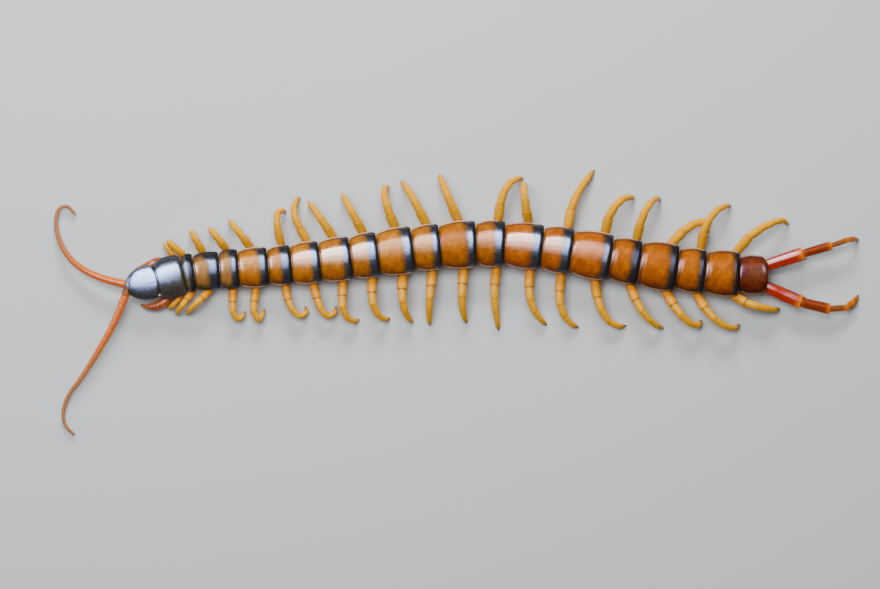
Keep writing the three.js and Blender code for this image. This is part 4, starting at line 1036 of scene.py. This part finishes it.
# The mouth parts: a block of brown plates under the head, with two short palps that meet in front. They are
# thin horn, and are let into the head's underside between the pincers.
MAXILLAE_FORM = ([2.6, 3.4, 5.2, 6.2], [1.6, 1.95, 1.75, 0.9], [2.8, 2.55, 2.55, 2.9])
MAXILLAE_TOP = 3.7
PALP_RADIUS = 0.42
MOUTH_COLOUR = np.array([0.2, 0.06, 0.018])


def boxy(wave):
    """A sine or cosine squared off: its sign, times its size to the power of six tenths."""
    return np.sign(wave) * np.abs(wave) ** 0.6


ahead = np.linspace(2.6, 6.2, 26)[::-1, None]
half, under = (smooth(ahead, MAXILLAE_FORM[0], values) for values in MAXILLAE_FORM[1:])
angle = around(36)[None]
cleft = 0.12 * bell(np.cos(angle), 0.12) * (np.sin(angle) < 0)
block_z = (MAXILLAE_TOP + under) / 2 + (MAXILLAE_TOP - under) / 2 * boxy(np.sin(angle)) + cleft
mouth_parts = [(head_point(ahead, half * boxy(np.cos(angle)), block_z), MOUTH_COLOUR, "face")]
for side in SIDES:
    f = np.linspace(0, 1, 20)
    palp = head_point(3.2 + 3.1 * f, side * (1.9 - 1.1 * f**2), 2.85 + 0.25 * np.sin(np.pi * f))
    joints_in = 1 - 0.2 * bell(f - 0.35, 0.03) - 0.2 * bell(f - 0.68, 0.03)
    radii = PALP_RADIUS * (1 - 0.35 * f) * joints_in * np.sqrt(1.02 - f**6)
    mouth_parts.append((tube(palp, radii, 14), mixed(MOUTH_COLOUR * 1.4, JOINT_COLOUR, f)[:, None], "face"))
mouth_material = shell_material("mouth_shell", 0.35, 0.2, 0.5, [(0.3, 0.012, 1)], coat=0.3)
make("mouth_parts", mouth_parts, mouth_material, ["head"], crease=60)

# The eyes: four small black glassy domes at each front corner of the head. Each is a simple lens that stands
# half out of the shield's edge.
EYES = ((5.0, 3.45, 4.5), (5.55, 3.2, 4.62), (5.15, 3.25, 4.85), (5.65, 2.95, 4.9))
EYE_RADIUS = 0.27
EYE_COLOUR = np.array([0.006, 0.006, 0.008])


def ball(centre, radius):
    """A ball as rings: heights follow the cosine and radii the sine of an angle from pole to pole."""
    polar = np.linspace(0.02, np.pi - 0.02, 14)[:, None]
    angle = around(20)[None]
    x, y = np.sin(polar) * np.cos(angle), np.sin(polar) * np.sin(angle)
    return centre + radius * np.stack([x, y, -np.cos(polar) + 0 * angle], -1)


eyes = [ball(head_point(far, side * out, height), EYE_RADIUS) for side in SIDES for far, out, height in EYES]
eye_material = shell_material("eye_glass", 0.08, 0.3, 0.3, [(0.3, 0.001, 1)], specular=0.8, coat=1.0)
make("eyes", [(eye, EYE_COLOUR, "face") for eye in eyes], eye_material, ["head"])

# The neck's hinges: two small knobs, one at each rear corner of the head, on which the first plate turns.
# They are smooth and grow on the head, and their pale colour is a painted highlight.
KNOBS = np.array([(-74.45, 1.9, 4.35), (-76.3, 9.85, 4.35)]) - np.r_[MIDDLE, 0]
KNOB_RADIUS = 0.42
# Painted highlight: the knobs' pale colour stands for the bright glints at the neck.
KNOB_PAINTED_HIGHLIGHT = np.array([0.6, 0.47, 0.33])
knob_parts = [(ball(place, KNOB_RADIUS), KNOB_PAINTED_HIGHLIGHT, "face") for place in KNOBS]
knob_material = shell_material("neck_knob_painted_highlight", 0.2, 0.15, 0.4, [(0.3, 0.004, 1)], specular=0.8, coat=0.5)
make("neck_hinges", knob_parts, knob_material, ["head"])

# The feelers: long tapering strings of short articles, each a little wider at its far end. The first few are
# bare and shiny orange, the rest are clothed in very fine hair and fade to tan.
ARTICLES = 18
FEELER_TIP = 0.36
FEELER_ORANGE = np.array([0.58, 0.1, 0.002])
FEELER_TAN = np.array([0.33, 0.12, 0.04])
FEELER_RING = np.array([0.3, 0.06, 0.012])
ARTICLE_ROWS = np.array([0.0, 0.05, 0.12, 0.3, 0.5, 0.7, 0.86, 0.94, 0.985])
FEELER_BUMPS = [(0.5, 0.012, 1), (0.12, 0.008, 1)]


def even_curve(points, shares):
    """Places at shares of the length of the curve through points, each coordinate a smooth curve of its own."""
    fine = np.linspace(0, len(points) - 1, 800)
    dense = np.stack([smooth(fine, np.arange(len(points)), points[:, k]) for k in range(3)], -1)
    along = np.r_[0, np.cumsum(np.linalg.norm(np.diff(dense, axis=0), axis=1))]
    return np.stack([np.interp(shares * along[-1], along, dense[:, k]) for k in range(3)], -1)


gloss = {"specular": 0.8, "coat": 0.05, "sheen": 0.05}
feeler_material = shell_material("feeler_shell", 0.3, 0.14, 0.7, FEELER_BUMPS, **gloss)
share = np.tile(ARTICLE_ROWS, ARTICLES)
along = (np.repeat(np.arange(ARTICLES), len(ARTICLE_ROWS)) + share) / ARTICLES
pinch = 0.045 * bell(share, 0.07) + 0.02 * bell(1 - share, 0.05)
radius = (FEELER_ROOT + (FEELER_TIP - FEELER_ROOT) * along**0.85) * (0.98 + 0.02 * share - pinch)
colour = mixed(FEELER_ORANGE, FEELER_TAN, step(along, 0.2, 0.75))
colour = mixed(colour, FEELER_RING, 0.35 * bell(share, 0.06) + 0.15 * bell(1 - share, 0.05))
hairy = step(along, 0.2, 0.45)
tint = np.c_[colour, 0.6 + 1.1 * hairy, 1 - 0.75 * hairy][:, None]
for side, word in SIDES.items():
    feeler = (tube(even_curve(feeler_lines[side], along), radius, 22), tint, "face")
    make(f"feeler_{word}", [feeler], feeler_material, [f"antenna_{word}"], crease=60)

# The poison claws: two thick curved pincers from a plate under the first segment, closing below the head. Their
# shell is orange-brown with a few seams, and the hollow fang at each end is black.
JAW_PATHS = {  # along from the neck, out from the middle line, and height
    1: [
        (2.3, 3.35, 1.75), (1.4, 4.45, 1.8), (-0.4, 4.15, 1.8), (-2.5, 3.75, 1.8),
        (-4.2, 3.65, 1.8), (-5.5, 3.3, 1.75), (-6.3, 2.5, 1.7),
    ],
    -1: [
        (2.3, 3.35, 1.75), (1.5, 4.95, 1.8), (-0.2, 5.85, 1.8), (-2.1, 6.1, 1.8),
        (-3.7, 5.85, 1.8), (-4.8, 5.4, 1.75), (-5.6, 4.75, 1.7),
    ],
}
JAW_RADII = (1.15, 1.25, 1.3, 1.22, 0.98, 0.7, 0.36)
JAW_SEAMS = ((0.2, 0.06), (0.5, 0.08), (0.6, 0.06), (0.68, 0.05))
JAW_SIDES = 26
FANG_FROM = 0.72
JAW_COLOUR = np.array([0.33, 0.062, 0.01])
JAW_EDGE = np.array([0.5, 0.14, 0.02])
JAW_BUMPS = [(1.2, 0.02, 1), (0.35, 0.006, 1)]


def first_point(along, out, height):
    """Points in the first segment's own directions: along towards the tail, and out to the animal's right."""
    along, out, height = np.broadcast_arrays(along, out, height)
    return beside(NECK + along[..., None] * heading(turns[0]), turns[0], out, height)


def pincer_part(side, shares, radii, tint):
    """A stretch of a pincer at shares of its path, with a radius and a colour for each share."""
    along, out, height = np.array(JAW_PATHS[side]).T
    line = even_curve(first_point(along, side * out, height), shares)
    return tube(line, radii, JAW_SIDES), tint[:, None], "face"


jaw_material = shell_material("poison_claw_shell", 0.3, 0.2, 1.0, JAW_BUMPS, specular=0.6, coat=0.15)
jaw_shares, fang_shares = np.linspace(0, FANG_FROM, 60), np.linspace(FANG_FROM, 1, 40)
knots = np.linspace(0, 1, len(JAW_RADII))
seams = sum(deep * bell(jaw_shares - at, 0.012) for at, deep in JAW_SEAMS)
jaw_radii = smooth(jaw_shares, knots, JAW_RADII) * (1 - seams)
jaw_tint = mixed(JAW_EDGE, JAW_COLOUR, step(jaw_shares, 0.0, 0.15))
jaw_tint = mixed(jaw_tint, JAW_COLOUR * 0.4, np.clip(seams * 9, 0, 1))
left = (1 - fang_shares) / (1 - FANG_FROM)
fang_radii = smooth(fang_shares, knots, JAW_RADII) * 0.94 * left**0.3 + 0.02
fang_tint = mixed(JAW_COLOUR, CLAW_BLACK * 2, step(fang_shares, 0.9, 1.0))
for side, word in SIDES.items():
    nodes = [f"poison_claw_{word}"]
    jaw = pincer_part(side, jaw_shares, jaw_radii, jaw_tint)
    make(f"pincer_{word}", [jaw], jaw_material, nodes)
    fang = pincer_part(side, fang_shares, fang_radii, fang_tint)
    make(f"pincer_fang_{word}", [fang], claw_material, nodes)

# The poison claws' plate: a broad flat bib under the first segment that carries both claws. Its front edge has
# two small dark tooth plates, and a seam runs down its middle.
BIB_FORM = ([-1.7, -0.9, 0.7, 1.2, 3.6], [0.5, 0.7, 0.78, 1.0, 1.0])
BIB_SWELL = ([-1.7, -0.9, 0.7, 3.6], [0.75, 1, 1, 1])
BIB_HALF = 3.0
BIB_TOP = 2.9
TEETH = 4
TOOTH = (0.6, 0.19)
along = np.linspace(-1.7, 3.6, 44)[:, None]
half = BIB_HALF * np.interp(along, *BIB_FORM)
angle = around(52)[None]
thick = (BIB_TOP - BELLY) / 2 * smooth(along, *BIB_SWELL)
seam = 0.08 * bell(np.cos(angle), 0.05) * (np.sin(angle) < 0)
bib_z = (BELLY + BIB_TOP) / 2 + thick * boxy(np.sin(angle)) + seam
bib_parts = [(first_point(along, half * boxy(np.cos(angle)), bib_z), JAW_COLOUR, "face")]
for side in SIDES:
    for tooth in range(TEETH):
        foot = first_point(-1.55, side * (0.22 + 0.3 * tooth), 1.25 + 0.05 * tooth)
        bib_parts.append(spur(foot, np.r_[-heading(turns[0]), 0], *TOOTH, JAW_COLOUR * 0.5, 10))
make("pincer_plate", bib_parts, jaw_material, ["poison_claw_plate"], crease=50)
